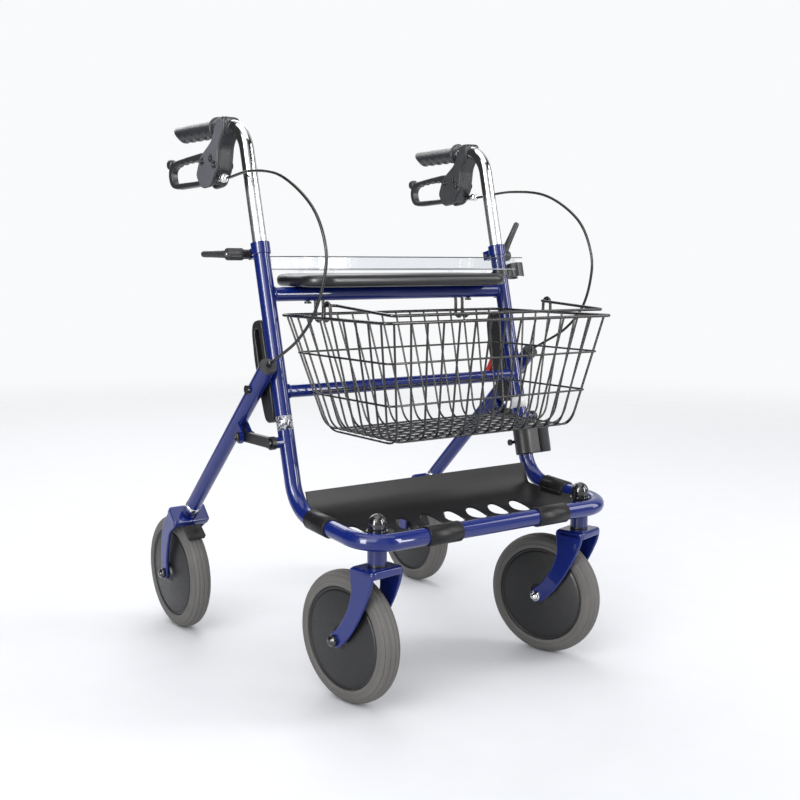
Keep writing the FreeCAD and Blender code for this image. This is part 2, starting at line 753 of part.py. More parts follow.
# ---------------------------------------------------------------- seat, tray and shelf

def plan_outline(width, depth, middle):
    """A rectangle in plan, as sheet formulas."""
    back = f"{middle} + {depth} / 2"
    front = f"{middle} - {depth} / 2"
    right = f"-{width} / 2"
    left = f"{width} / 2"
    return [(right, front), (left, front), (left, back), (right, back)]


def rounded_top(item, radius):
    """The same solid with the edges of its highest face rounded."""
    doc.recompute()
    top = item.Shape.BoundBox.ZMax
    chosen = [count for count, edge in enumerate(item.Shape.Edges, start=1)
              if edge.BoundBox.ZMin > top - 0.01]
    soft = doc.addObject("Part::Fillet", "soft")
    soft.Base = item
    soft.Edges = [(count, radius, radius) for count in chosen]
    return soft


def seat_pad():
    """A firm moulded seat across the top bar."""
    pad = padded(plan_outline("seat_width", "seat_depth", "seat_middle"), "seat_thickness",
                 rounding="seat_corner", centred=False)
    base = value("seat_bar_height + seat_bar_diameter / 2") + 0.2
    pad.Placement = Placement(Vector(0, 0, base), Rotation())
    spots = [Vector(under_seat(side).x, under_seat(side).y, base - 9) for side in (1, -1)]
    holes = [rod("bolt_radius", "20", spot) for spot in spots]
    node(cut(rounded_top(pad, 7), *holes), "seat_pad")


def tray():
    """A clear tray with a thin rim that stands on the seat on small feet."""
    floor = value("seat_bar_height + seat_bar_diameter / 2 + seat_thickness") + 6
    outside = padded(plan_outline("(tray_width - 18)", "(tray_depth - 18)", "seat_middle"), "tray_height",
                     rounding="22", centred=False)
    inside = padded(plan_outline("(tray_width - 18 - 2 * tray_wall)", "(tray_depth - 18 - 2 * tray_wall)",
                                 "seat_middle"), "tray_height", rounding="20", centred=False)
    rim = padded(plan_outline("tray_width", "tray_depth", "seat_middle"), "2", rounding="28", centred=False)
    outside.Placement = Placement(Vector(0, 0, floor), Rotation())
    inside.Placement = Placement(Vector(0, 0, floor + value("tray_wall")), Rotation())
    rim.Placement = Placement(Vector(0, 0, floor + value("tray_height") - 2), Rotation())
    feet = [rod("4", "6", Vector(across, value("seat_middle") + deep, floor - 5.5))
            for across in (-150, 150) for deep in (-45, 45)]
    node(cut(joined(outside, rim, *feet), inside), "tray")


def lower_shelf():
    """A trough between the loop's arms, hung on the tube by moulded sleeves."""
    sheet_points = [(-284, 242), (-240, 236), (-180, 236), (-146, 242), (-117, 262), (-99, 300),
                    (-102, 301), (-120, 265), (-148, 245.5), (-181, 239.5), (-240, 239.5), (-280, 245),
                    (-280, 257), (-284, 257)]
    trough = padded([(str(back), str(up)) for back, up in sheet_points], "shelf_width", role="YZ_Plane")
    parts = [trough]
    holes = []
    for side in (-1, 1):
        end = padded([("-281", "243"), ("-240", "236"), ("-180", "236"), ("-146", "242"), ("-117", "262"),
                      ("-112", "272"), ("-200", "266"), ("-281", "261")], "shelf_sheet + 2", role="YZ_Plane")
        end.Placement = Placement(Vector(side * value("shelf_width / 2 - 0.5"), 0, 0), Rotation())
        parts.append(end)
        arm = Vector(side * value("upright_spacing / 2"), -186, arm_height(-186))
        ahead = Vector(0, 1, value("arm_slope")).normalize()
        parts.append(rod("tube_diameter / 2 + 2.5", "34", arm, ahead))
        bar = Vector(side * 105 - 30, value("loop_front"), value("loop_height"))
        parts.append(rod("tube_diameter / 2 + 2.5", "60", bar, X_AXIS))
        for count in range(4):
            spot = Vector(side * (23.2 + 46.4 * count), -152, 215)
            slot = joined(rod("11", "60", spot - Y_AXIS * 11), rod("11", "60", spot + Y_AXIS * 11),
                          block("22", "22", "60", spot + Z_AXIS * 30))
            holes.append(slot)
    tube = bar_along(rounded_frame_line(), "tube_diameter / 2 + 0.1", "sleeve_bore")
    heads = [rod("head_tube_radius + 1", "100", stem(side) + Z_AXIS * 200) for side in (-1, 1)]
    node(cut(joined(*parts), tube, *heads, *holes), "lower_shelf")


# ---------------------------------------------------------------- basket

def tub(grow, name):
    """A tapered tub with its floor and rim each moved outwards by a distance."""
    body = doc.addObject("PartDesign::Body", name)
    loft = body.newObject("PartDesign::AdditiveLoft", name + "_loft")
    outlines = []
    for width, front, back, height in (
            ("basket_floor_width", "basket_floor_front", "basket_floor_back", "basket_floor_height"),
            ("basket_rim_width", "basket_rim_front", "basket_rim_back", "basket_rim_height")):
        half = f"({width} / 2 + ({grow}))"
        points = [(f"-{half}", f"{front} - ({grow})"), (half, f"{front} - ({grow})"),
                  (half, f"{back} + ({grow})"), (f"-{half}", f"{back} + ({grow})")]
        sketch = new_sketch(body, "XY_Plane", points)
        sketch.setExpression("AttachmentOffset.Base.z", linked(height))
        outlines.append(sketch)
    loft.Profile = outlines[0]
    loft.Sections = outlines[1:]
    doc.recompute()
    return body


def eye_hole(side):
    """The point where the carrying handle turns in the basket's eye."""
    return Vector(side * value("bail_half_width"), value("bail_pivot_back"), value("bail_pivot_height"))


def basket():
    """The wire basket as a thin-walled open tub, with an eye on each side for its handle."""
    outer = tub("0", "outer")
    inner = tub("-basket_skin", "inner")
    inner.Placement = Placement(Z_AXIS * value("basket_skin") * 1.2, Rotation())
    eyes = []
    holes = []
    for side in (-1, 1):
        spot = Vector(side * (value("basket_rim_width / 2") - 2), value("bail_pivot_back"), 573)
        eyes.append(block("4", "22", "26", spot))
        holes.append(rod("bail_wire + running_gap", "50", eye_hole(side) - X_AXIS * 25, X_AXIS))
    node(cut(joined(outer, *eyes), inner, *holes), "basket")


def basket_handle():
    """The wire carrying handle that lies along the front of the rim."""
    left = eye_hole(1)
    right = eye_hole(-1)
    front = value("basket_rim_front") + 6
    line = [left + X_AXIS * 18, left, Vector(left.x, front, 571), Vector(right.x, front, 571), right,
            right - X_AXIS * 18]
    node(bar_along(bent_wire(line, 7), "bail_wire", "bail"), "basket_handle")


def basket_hooks():
    """Wire hooks under the seat bar that reach down behind the basket's rear rim."""
    bar = rod("seat_bar_diameter / 2", "400", SEAT_BAR - X_AXIS * (SEAT_BAR.x + 200), X_AXIS)
    back = value("basket_rim_back") + 6
    hooks = []
    for side in (-1, 1):
        across = side * value("hook_spacing / 2")
        top = Vector(across, SEAT_BAR.y, SEAT_BAR.z)
        wire = rod("hook_wire", "46", Vector(across, back, 543))
        hooks.append(cut(wire, bar))
    node(group(*hooks), "basket_hooks")


# ---------------------------------------------------------------- cane holder and bolts

CANE_FOOT = on_upright(312) + X_AXIS * value("cane_offset")
CUP_BOLT = CANE_FOOT + LEAN * 24 + BEHIND * 17.5


def cane_cup():
    """A cup clamped around the left upright that holds the foot of a walking stick."""
    outline = [("-51", "-17"), ("18", "-17"), ("18", "23"), ("-51", "23")]
    body = padded(outline, "cane_cup_height", rounding="5", centred=False)
    body.Placement = Placement(CANE_FOOT, Rotation(X_AXIS, BEHIND, LEAN, "ZXY"))
    bore = rod("cane_bore", "cane_cup_height", CANE_FOOT + LEAN * 6, LEAN)
    tube = rod("tube_diameter / 2 + 0.1", "200", on_upright(250), LEAN)
    bolt = rod("bolt_radius", "34", CUP_BOLT - X_AXIS * 52, X_AXIS)
    node(cut(body, bore, tube, bolt), "cane_cup")


def cane_clip():
    """A spring clip near the top of the upright that grips the stick's shaft."""
    centre = CANE_FOOT + LEAN * 324
    turn = Rotation(Z_AXIS, LEAN)
    ring = rod("14.5", "24", centre - LEAN * 12, LEAN)
    arm = block("20", "12", "10", centre - X_AXIS * 17 - LEAN * 6, turn)
    band = rod("tube_diameter / 2 + 2.6", "11", centre - X_AXIS * value("cane_offset") - LEAN * 12, LEAN)
    mouth = block("30", "17", "60", centre + X_AXIS * 15, turn)
    hollow = rod("11.5", "60", centre - LEAN * 30, LEAN)
    tube = rod("tube_diameter / 2 + 0.1", "100", on_upright(580), LEAN)
    node(cut(joined(ring, arm, band), mouth, hollow, tube), "cane_clip")


def frame_bolts():
    """Equal bolts: two under the seat, one through the cup, and the links' pins on the uprights."""
    bolts = []
    for side in (-1, 1):
        spot = under_seat(side)
        shank = rod("bolt_radius", "30", spot - Z_AXIS)
        bolts.append(joined(rod("bolt_head_radius", "3", spot - Z_AXIS * 4), shank))
        pin = Vector(side * (LINK_PIN.x - 16), LINK_PIN.y, LINK_PIN.z)
        head = Vector(side * (LINK_PIN.x + 4.2), LINK_PIN.y, LINK_PIN.z)
        bolts.append(joined(rod("pin_radius", "21", pin, X_AXIS * side), rod("7", "4", head, X_AXIS * side)))
    start = CUP_BOLT - X_AXIS * 51
    shank = rod("bolt_radius", "32", start, X_AXIS)
    bolts.append(joined(shank, rod("bolt_head_radius", "3", start, X_AXIS * -1)))
    node(group(*bolts), "frame_bolts")


# ---------------------------------------------------------------- assembly

front_frame()
caster_bushes()
dome_caps()
caster_fork("left", 1, "caster_turn_left")
caster_fork("right", -1, "caster_turn_right")
for name, side in (("left", 1), ("right", -1)):
    axle = Vector(side * REAR_AXLE.x, REAR_AXLE.y, REAR_AXLE.z)
    tyre_and_disc(f"rear_{name}", axle, Rotation())
    axle_bolt(f"rear_{name}", axle, Rotation())
rear_leg()
leg_plug()
rear_fork()
brake_shoe()
folding_link()
latch_housing()
latch_lever()
pivot_slider()
handle_tube()
grip()
brake_housing()
lever_screws()
brake_lever()
cable_adjuster()
brake_cable("left", 1, value("left_handle_drop"))
brake_cable("right", -1, 0)
clamp_lever("left", 1, Vector(0, -0.17, 0.98))
clamp_lever("right", -1, Vector(0, 1, 0))
seat_pad()
tray()
lower_shelf()
basket()
basket_handle()
basket_hooks()
cane_cup()
cane_clip()
frame_bolts()

doc.recompute()
faults = [f"{item.Name} ({item.Label}): {item.State}" for item in doc.Objects
          if "Invalid" in item.State or "Error" in item.State]
for item in finished:
    if item.Shape.isNull() or not item.Shape.isValid() or not item.Shape.Solids:
        faults.append(f"{item.Label}: its shape is missing or not valid")
if faults:
    raise RuntimeError("\n".join(faults))

os.makedirs("parts", exist_ok=True)
for item in finished:
    item.Shape.exportStep(os.path.join("parts", item.Label + ".step"))
print(len(finished), "pieces written")
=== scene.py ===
import json
import math

import bmesh
import bpy
from mathutils import Matrix, Vector


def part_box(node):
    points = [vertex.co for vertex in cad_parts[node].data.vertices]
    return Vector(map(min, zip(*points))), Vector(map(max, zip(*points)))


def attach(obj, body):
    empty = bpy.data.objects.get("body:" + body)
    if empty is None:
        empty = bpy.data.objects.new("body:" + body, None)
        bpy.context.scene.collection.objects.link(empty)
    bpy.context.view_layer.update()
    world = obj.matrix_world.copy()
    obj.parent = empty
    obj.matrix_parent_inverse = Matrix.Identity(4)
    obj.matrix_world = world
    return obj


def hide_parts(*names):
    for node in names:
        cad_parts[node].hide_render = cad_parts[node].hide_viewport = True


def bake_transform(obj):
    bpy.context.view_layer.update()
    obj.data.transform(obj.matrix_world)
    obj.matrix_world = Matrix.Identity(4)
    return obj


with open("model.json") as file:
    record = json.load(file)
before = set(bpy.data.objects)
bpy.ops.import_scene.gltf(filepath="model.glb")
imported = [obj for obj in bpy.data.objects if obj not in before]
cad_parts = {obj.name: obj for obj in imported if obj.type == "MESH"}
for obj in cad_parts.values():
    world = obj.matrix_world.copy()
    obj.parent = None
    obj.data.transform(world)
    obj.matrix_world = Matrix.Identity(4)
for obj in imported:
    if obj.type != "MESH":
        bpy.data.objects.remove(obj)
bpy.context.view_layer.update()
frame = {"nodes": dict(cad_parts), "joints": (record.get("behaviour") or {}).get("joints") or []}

# The looks of a folding walking frame on four wheels.
#
# +Z is up, the walker faces -Y and its user stands at +Y; +X is the user's left.
# Sizes of pieces are millimetres, and a "place" matrix turns them into the frame's metres.
# A place's local X runs across a plate, or along the axis of a turned piece.

MM = 0.001
SIDES = (("left", 1), ("right", -1))
FACES = (("outer", 1), ("inner", -1))
JOINTS = {joint["name"]: joint for joint in frame["joints"]}
X_AXIS = Vector((1, 0, 0))
Y_AXIS = Vector((0, 1, 0))
Z_AXIS = Vector((0, 0, 1))
LEAN = Vector(JOINTS["handle_height_left"]["axis"]).normalized()
BEHIND = X_AXIS.cross(LEAN) * -1
UPRIGHT_OUT = 234.0


def upright_back(height):
    """How far back an upright's centre line is at a height."""
    return -172 + 0.25 * height


def pin(name):
    """The place of a joint."""
    return Vector(JOINTS[name]["pos_m"])


def axis(name):
    """The direction of a joint's axis."""
    return Vector(JOINTS[name]["axis"]).normalized()


def place(origin, x_axis, y_axis, z_axis):
    """The matrix that puts local millimetres at an origin along three directions."""
    rows = Matrix((x_axis, y_axis, z_axis)).transposed() * MM
    matrix = rows.to_4x4()
    matrix.translation = origin
    return matrix


def facing(origin, direction):
    """A place whose local X lies along a direction."""
    direction = direction.normalized()
    helper = Z_AXIS if abs(direction.z) < 0.9 else Y_AXIS
    y_axis = helper.cross(direction).normalized()
    return place(origin, direction, y_axis, direction.cross(y_axis))


# ---- finishes

def added(name, data):
    """A new object in the scene."""
    obj = bpy.data.objects.new(name, data)
    bpy.context.scene.collection.objects.link(obj)
    return obj


class Nodes:
    """Makes and links the nodes of one node tree."""

    def __init__(self, tree):
        self.tree = tree

    def feed(self, socket, content):
        """Give a socket another node's output, or a plain value."""
        if isinstance(content, bpy.types.NodeSocket):
            self.tree.links.new(content, socket)
        else:
            socket.default_value = content

    def fill(self, node, **inputs):
        for name, content in inputs.items():
            self.feed(node.inputs[name.replace("_", " ")], content)
        return node

    def node(self, kind, **inputs):
        return self.fill(self.tree.nodes.new(kind), **inputs)

    def ranged(self, content, low, high, from_low=0.3, from_high=0.7):
        """A content stretched from one range to another, and held inside it."""
        made = self.node("ShaderNodeMapRange", Value=content, From_Min=from_low, From_Max=from_high,
                         To_Min=low, To_Max=high)
        return made.outputs["Result"]

    def mixed(self, share, first, second):
        """One colour turning into another."""
        made = self.node("ShaderNodeMix")
        made.data_type = "RGBA"
        self.feed(made.inputs[0], share)
        self.feed(made.inputs[6], first)
        self.feed(made.inputs[7], second)
        return made.outputs[2]

    def blended(self, share, first, second):
        """One shader turning into another."""
        made = self.node("ShaderNodeMixShader")
        for socket, content in zip(made.inputs, (share, first, second)):
            self.feed(socket, content)
        return made.outputs[0]

    def product(self, first, second, added=None):
        """Two contents multiplied, with a third one added if there is one."""
        made = self.node("ShaderNodeMath", Value=first)
        made.operation = "MULTIPLY" if added is None else "MULTIPLY_ADD"
        self.feed(made.inputs[1], second)
        if added is not None:
            self.feed(made.inputs[2], added)
        return made.outputs[0]


class Finish(Nodes):
    """A material under construction."""

    def __init__(self, name):
        self.material = bpy.data.materials.new(name)
        self.material.use_nodes = True
        super().__init__(self.material.node_tree)
        self.shader = self.tree.nodes["Principled BSDF"]
        self.place = self.node("ShaderNodeTexCoord").outputs["Object"]

    def noise(self, scale, detail):
        made = self.node("ShaderNodeTexNoise", Scale=scale, Detail=detail, Vector=self.place)
        return made.outputs[0]

    def bumped(self, height, depth_mm, strength=1.0):
        made = self.node("ShaderNodeBump", Height=height, Distance=depth_mm * MM, Strength=strength)
        return made.outputs["Normal"]

    def tone(self):
        """What feeds the base colour so far."""
        return self.shader.inputs["Base Color"].links[0].from_socket

    def set(self, **inputs):
        self.fill(self.shader, **inputs)

    def cover(self, shader):
        """Show another shader than the material's first one."""
        self.feed(self.tree.nodes["Material Output"].inputs["Surface"], shader)


def colour(red, green, blue, gain=1.0):
    return (red * gain, green * gain, blue * gain, 1.0)


def finish_of(name, tint, rough, spread=0.06, mottle=0.12, grain=900.0, depth=0.02, metal=0.0, coat=0.0,
              specular=0.5):
    """A finish with faint mottling, uneven roughness, handling marks and a fine surface grain."""
    finish = Finish(name)
    clouds = finish.noise(14.0, 5.0)
    marks = finish.noise(160.0, 6.0)
    share = finish.ranged(clouds, 0.0, 1.0)
    tone = finish.mixed(share, colour(*tint, 1 - mottle), colour(*tint, 1 + mottle))
    smudge = finish.ranged(marks, rough - spread, rough + spread)
    fine = finish.noise(grain, 2.0)
    finish.set(Base_Color=tone, Roughness=smudge, Metallic=metal, Coat_Weight=coat, Coat_Roughness=0.06,
               Specular_IOR_Level=specular, Normal=finish.bumped(fine, depth))
    return finish


def chrome_finish():
    """Chrome that is polished on the bend and stippled satin below it, with faint smudges."""
    finish = finish_of("chrome_tube", (0.62, 0.63, 0.64), 0.10, metal=1.0, depth=0.004)
    height = finish.node("ShaderNodeSeparateXYZ", Vector=finish.place)
    satin = finish.ranged(height.outputs["Z"], 1.0, 0.0, 0.745, 0.765)
    smudges = finish.ranged(finish.noise(60.0, 5.0), 0.05, 0.10)
    stipple = finish.noise(300.0, 2.0)
    dots = finish.product(satin, finish.ranged(stipple, 0.0, 0.85, 0.44, 0.60))
    shows = finish.ranged(satin, 0.03, 0.55, 0.0, 1.0)
    finish.set(Base_Color=finish.mixed(dots, finish.tone(), colour(0.40, 0.41, 0.41)),
               Roughness=finish.product(satin, 0.28, smudges), Normal=finish.bumped(stipple, 0.12, shows))
    return finish.material


def clear_finish():
    """Clear moulded plastic that only shows at its edges and in its reflections."""
    finish = Finish("clear_plastic")
    weight = finish.node("ShaderNodeLayerWeight", Blend=0.35)
    scratches = finish.ranged(finish.noise(240.0, 4.0), 0.02, 0.12)
    gloss = finish.node("ShaderNodeBsdfGlossy", Roughness=scratches)
    clear = finish.node("ShaderNodeBsdfTransparent", Color=(0.975, 0.982, 0.988, 1.0))
    haze = finish.node("ShaderNodeBsdfDiffuse", Color=(0.55, 0.58, 0.62, 1.0))
    edge = finish.ranged(weight.outputs["Facing"], 0.004, 0.02, 0.2, 1.0)
    shine = finish.ranged(weight.outputs["Fresnel"], 0.01, 0.07, 0.0, 1.0)
    hazy = finish.blended(edge, clear.outputs[0], haze.outputs[0])
    finish.cover(finish.blended(shine, hazy, gloss.outputs[0]))
    return finish.material


def tread_finish():
    """Grey rubber with moulding lines around the wheel and a little dust."""
    finish = finish_of("tyre_rubber", (0.118, 0.113, 0.106), 0.66, mottle=0.10, depth=0.05, grain=700.0)
    dust = finish.ranged(finish.noise(30.0, 8.0), 0.0, 0.22, 0.52, 0.75)
    finish.set(Base_Color=finish.mixed(dust, finish.tone(), colour(0.17, 0.165, 0.155)))
    return finish.material


def band_finish():
    """Reflective tape: small bright and dark squares under a clear skin."""
    finish = finish_of("silver_band", (0.62, 0.63, 0.68), 0.28, metal=0.4, coat=0.6)
    squares = finish.node("ShaderNodeTexVoronoi", Scale=420.0, Randomness=0.1, Vector=finish.place)
    split = finish.node("ShaderNodeSeparateXYZ", Vector=squares.outputs["Color"])
    share = finish.ranged(split.outputs["X"], 0.0, 1.0, 0.45, 0.55)
    finish.set(Base_Color=finish.mixed(share, colour(0.055, 0.058, 0.085), finish.tone()))
    return finish.material


def paint_finish():
    """Deep blue powder coat: a gloss skin with a faint orange peel."""
    finish = finish_of("blue_paint", (0.0030, 0.0140, 0.150), 0.34, spread=0.02, mottle=0.05, coat=0.9,
                       grain=260.0, depth=0.002, specular=0.12)
    finish.set(Coat_Roughness=0.025)
    return finish.material


PLAIN = {
    "zinc_steel": ((0.62, 0.62, 0.60), 0.24, {"metal": 1.0, "grain": 500.0}),
    "dark_steel": ((0.030, 0.030, 0.032), 0.26, {"metal": 0.7, "coat": 0.3}),
    "bright_steel": ((0.78, 0.78, 0.79), 0.12, {"metal": 1.0, "depth": 0.005}),
    "bush_plastic": ((0.012, 0.012, 0.013), 0.42, {}),
    "cap_plastic": ((0.012, 0.012, 0.013), 0.14, {"coat": 0.7, "depth": 0.01}),
    "shelf_plastic": ((0.012, 0.012, 0.013), 0.36,
                      {"spread": 0.02, "grain": 1400.0, "depth": 0.001, "specular": 0.22}),
    "seat_plastic": ((0.012, 0.012, 0.014), 0.30, {"spread": 0.015, "grain": 1100.0, "depth": 0.0006}),
    "coated_wire": ((0.005, 0.005, 0.006), 0.28, {"coat": 0.2, "grain": 600.0, "depth": 0.03}),
    "holder_plastic": ((0.011, 0.011, 0.012), 0.40, {"depth": 0.05}),
    "holder_face": ((0.045, 0.046, 0.050), 0.48, {"depth": 0.08}),
    "guide_plastic": ((0.010, 0.010, 0.011), 0.44, {"depth": 0.06}),
    "red_plastic": ((0.62, 0.020, 0.014), 0.30, {"coat": 0.3}),
    "link_plastic": ((0.012, 0.012, 0.013), 0.36, {"depth": 0.05}),
    "plug_plastic": ((0.036, 0.037, 0.040), 0.44, {"depth": 0.05}),
    "shoe_rubber": ((0.010, 0.010, 0.010), 0.66, {"depth": 0.10}),
    "disc_plastic": ((0.010, 0.010, 0.011), 0.40, {"grain": 1300.0, "depth": 0.07}),
    "grip_rubber": ((0.034, 0.035, 0.040), 0.34, {"grain": 800.0, "depth": 0.12}),
    "brake_plastic": ((0.030, 0.031, 0.035), 0.36, {"depth": 0.07}),
    "brake_panel": ((0.120, 0.123, 0.140), 0.42, {"depth": 0.08}),
    "cable_jacket": ((0.008, 0.008, 0.009), 0.30, {"coat": 0.2}),
    "clamp_plastic": ((0.026, 0.026, 0.028), 0.46, {"depth": 0.09}),
    # Pale line colour: a painted glint along the clear tray's floor edge.
    "painted_glint_line": ((0.30, 0.31, 0.33), 0.2, {"coat": 0.6}),
    "white_band": ((0.72, 0.73, 0.75), 0.40, {"grain": 2400.0, "depth": 0.05}),
}
LOOKS = {name: finish_of(name, tint, rough, **more).material for name, (tint, rough, more) in PLAIN.items()}
LOOKS.update(blue_paint=paint_finish(), chrome_tube=chrome_finish(), clear_plastic=clear_finish(),
             tyre_rubber=tread_finish(), silver_band=band_finish())


# ---- building blocks

def painted(obj, slot, look=None):
    """Give a piece the material of its slot, or the look that is named instead."""
    obj.data.materials.clear()
    obj.data.materials.append(LOOKS[look or slot])
    return obj


def shown(obj, body, slot, look=None, stands_for=None):
    """Finish a piece: its material, the body that it moves with and the CAD node it stands for."""
    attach(painted(obj, slot, look), body)
    if stands_for:
        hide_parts(stands_for)


def mesh_piece(name, points, faces):
    """A smooth-shaded mesh object from points in metres."""
    mesh = bpy.data.meshes.new(name)
    mesh.from_pydata([tuple(point) for point in points], [], faces)
    shape = bmesh.new()
    shape.from_mesh(mesh)
    bmesh.ops.recalc_face_normals(shape, faces=shape.faces)
    shape.to_mesh(mesh)
    shape.free()
    mesh.shade_smooth()
    return added(name, mesh)


def soften(obj, width, segments=3, angle=38.0):
    """Round the sharp edges of a piece."""
    bevel = obj.modifiers.new("soft edges", "BEVEL")
    bevel.width = width * MM
    bevel.segments = segments
    bevel.limit_method = "ANGLE"
    bevel.angle_limit = math.radians(angle)
    bevel.harden_normals = True
    return obj


def rounded(points, radius, steps=6, closed=True):
    """The same line with each corner turned into a short curve."""
    corners = [Vector(point) for point in points]
    last_index = len(corners) - 1
    line = []
    for index, corner in enumerate(corners):
        if not closed and index in (0, last_index):
            line.append(corner)
            continue
        before = corners[index - 1] - corner
        after = corners[(index + 1) % len(corners)] - corner
        reach = min(radius, before.length * 0.48, after.length * 0.48)
        first = corner + before.normalized() * reach
        last = corner + after.normalized() * reach
        for step in range(steps + 1):
            share = step / steps
            line.append(first.lerp(corner, share).lerp(corner.lerp(last, share), share))
    return line


def rectangle(left, bottom, right, top, corner):
    """A rectangle's outline with rounded corners."""
    return rounded([(left, bottom), (right, bottom), (right, top), (left, top)], corner)


def through(points, steps=8):
    """A smooth open line through points."""
    knots = [Vector(point) for point in points]
    knots = [knots[0] * 2 - knots[1]] + knots + [knots[-1] * 2 - knots[-2]]
    line = []
    for a, b, c, d in zip(knots, knots[1:], knots[2:], knots[3:]):
        for step in range(steps):
            t = step / steps
            line.append((b * 2 + (c - a) * t + (a * 2 - b * 5 + c * 4 - d) * t ** 2
                         + (b * 3 - a - c * 3 + d) * t ** 3) * 0.5)
    line.append(knots[-2])
    return line


def band_faces(rings, count, closed=False):
    """The faces between rings of points; a closed band joins the last ring to the first one too."""
    faces = []
    for ring in range(rings if closed else rings - 1):
        near = ring * count
        far = (ring + 1) % rings * count
        for index in range(count):
            following = (index + 1) % count
            faces.append([near + index, near + following, far + following, far + index])
    return faces


def end_faces(rings, count):
    """The two faces that close a band at its first and last rings."""
    return [list(range(count)), list(range((rings - 1) * count, rings * count))]


def plate(name, outline, inner, outer, where, soft=1.0):
    """A plate with an outline in local Y and Z, between two distances along local X."""
    count = len(outline)
    points = [where @ Vector((across, y, z)) for across in (inner, outer) for y, z in outline]
    return soften(mesh_piece(name, points, end_faces(2, count) + band_faces(2, count)), soft)


def reach_of(outline, centre, angle):
    """How far an outline is from a centre in one direction."""
    ray = Vector((math.cos(angle), math.sin(angle)))
    best = 0.0
    for start, end in zip(outline, outline[1:] + outline[:1]):
        side = end - start
        across = ray.x * side.y - ray.y * side.x
        if abs(across) < 1e-9:
            continue
        gap = start - centre
        distance = (gap.x * side.y - gap.y * side.x) / across
        share = (gap.x * ray.y - gap.y * ray.x) / across
        if distance > best and -1e-6 <= share <= 1 + 1e-6:
            best = distance
    return centre + ray * best


def ring_plate(name, outline, window, centre, inner, outer, where, soft=1.0):
    """A plate with a window: both outlines are seen whole from the centre point."""
    points = []
    count = 220
    centre = Vector(centre)
    turns = [2 * math.pi * index / count for index in range(count)]
    for line, sides in ((outline, (inner, outer)), (window, (outer, inner))):
        edge = [reach_of(line, centre, turn) for turn in turns]
        for across in sides:
            points += [where @ Vector((across, spot.x, spot.y)) for spot in edge]
    return soften(mesh_piece(name, points, band_faces(4, count, closed=True)), soft)


def lathe(name, profile, where, segments=64, flutes=0, depth=0.0, fluted=()):
    """A form turned about local X from (along, out) pairs; chosen rows can carry flutes."""
    points = []
    for row, (along, out) in enumerate(profile):
        for step in range(segments):
            turn = 2 * math.pi * step / segments
            radius = out
            if row in fluted:
                radius -= depth * (0.5 - 0.5 * math.cos(flutes * turn))
            points.append(where @ Vector((along, radius * math.cos(turn), radius * math.sin(turn))))
    faces = band_faces(len(profile), segments)
    if profile[0] != profile[-1]:
        faces += end_faces(len(profile), segments)
    return mesh_piece(name, points, faces)


def wires(name, paths, radius, closed=(), sides=3):
    """Round wires along lines in metres, all in one curve object."""
    curve = bpy.data.curves.new(name, "CURVE")
    curve.dimensions = "3D"
    curve.bevel_depth = radius * MM
    curve.bevel_resolution = sides
    curve.use_fill_caps = True
    for number, path in enumerate(paths):
        spline = curve.splines.new("POLY")
        spline.points.add(len(path) - 1)
        for point, spot in zip(spline.points, path):
            point.co = (*spot, 1.0)
        spline.use_cyclic_u = number in closed
        spline.use_smooth = True
    return added(name, curve)


def meshed(obj):
    """The same curve as a mesh object."""
    depsgraph = bpy.context.evaluated_depsgraph_get()
    mesh = bpy.data.meshes.new_from_object(obj.evaluated_get(depsgraph))
    mesh.shade_smooth()
    twin = added(obj.name + "_mesh", mesh)
    bpy.data.objects.remove(obj)
    return twin


def button_head(name, where, radius, height, socket=0.45):
    """A round screw head with a recess for a key; local X points out of it."""
    dome = [(height * math.sin(step * math.pi / 12), radius * (0.80 + 0.20 * math.cos(step * math.pi / 12)))
            for step in range(7)]
    hollow = [(height * 0.98, radius * socket), (height * 0.35, radius * socket * 0.9)]
    return lathe(name, [(-0.6, radius)] + dome + hollow, where, segments=36)


# ---- pieces whose CAD shape is right

def keep(node, slot, soft=0.0, look=None):
    """Show a CAD node as it is, with its finish and slightly rounded edges."""
    obj = painted(frame["nodes"][node], slot, look)
    if soft:
        soften(obj, soft, segments=2)


keep("front_frame", "blue_paint", 0.7)
keep("caster_bushes", "bush_plastic")
keep("dome_caps", "cap_plastic", 0.8)
keep("tray", "clear_plastic")
keep("cane_clip", "holder_plastic", 0.7)
keep("frame_bolts", "zinc_steel", 0.6, "dark_steel")
keep("basket_handle", "coated_wire")
for side_name, _ in SIDES:
    keep("latch_lever_" + side_name, "red_plastic", 1.0)
    keep("pivot_slider_" + side_name, "zinc_steel", 0.6, "dark_steel")
    keep("folding_link_" + side_name, "link_plastic", 1.0)
    keep("rear_leg_" + side_name, "blue_paint", 0.6)
    keep("leg_plug_" + side_name, "plug_plastic", 0.8)
    keep("brake_shoe_" + side_name, "shoe_rubber", 1.4)


# ---- wheels

def tyre_profile():
    """Round shoulders that run into the disc, with fine grooves around the tread."""
    half = 17.5
    shoulder = 2.4
    rows = [(-half + 2.2, 77.6), (-half + 0.6, 78.2)]
    steps = 84
    for step in range(steps + 1):
        share = -1 + 2 * step / steps
        across = math.sin(share * math.pi / 2)
        crown = 79.5 + 20.5 * max(0.0, 1 - abs(across) ** shoulder) ** (1 / shoulder)
        groove = 1.5 * max(0.0, math.cos(share * 7 * math.pi)) ** 6 if abs(share) < 0.9 else 0.0
        rows.append((half * across, crown - groove))
    rows += [(half - 0.6, 78.2), (half - 2.2, 77.6)]
    return rows + rows[:1]


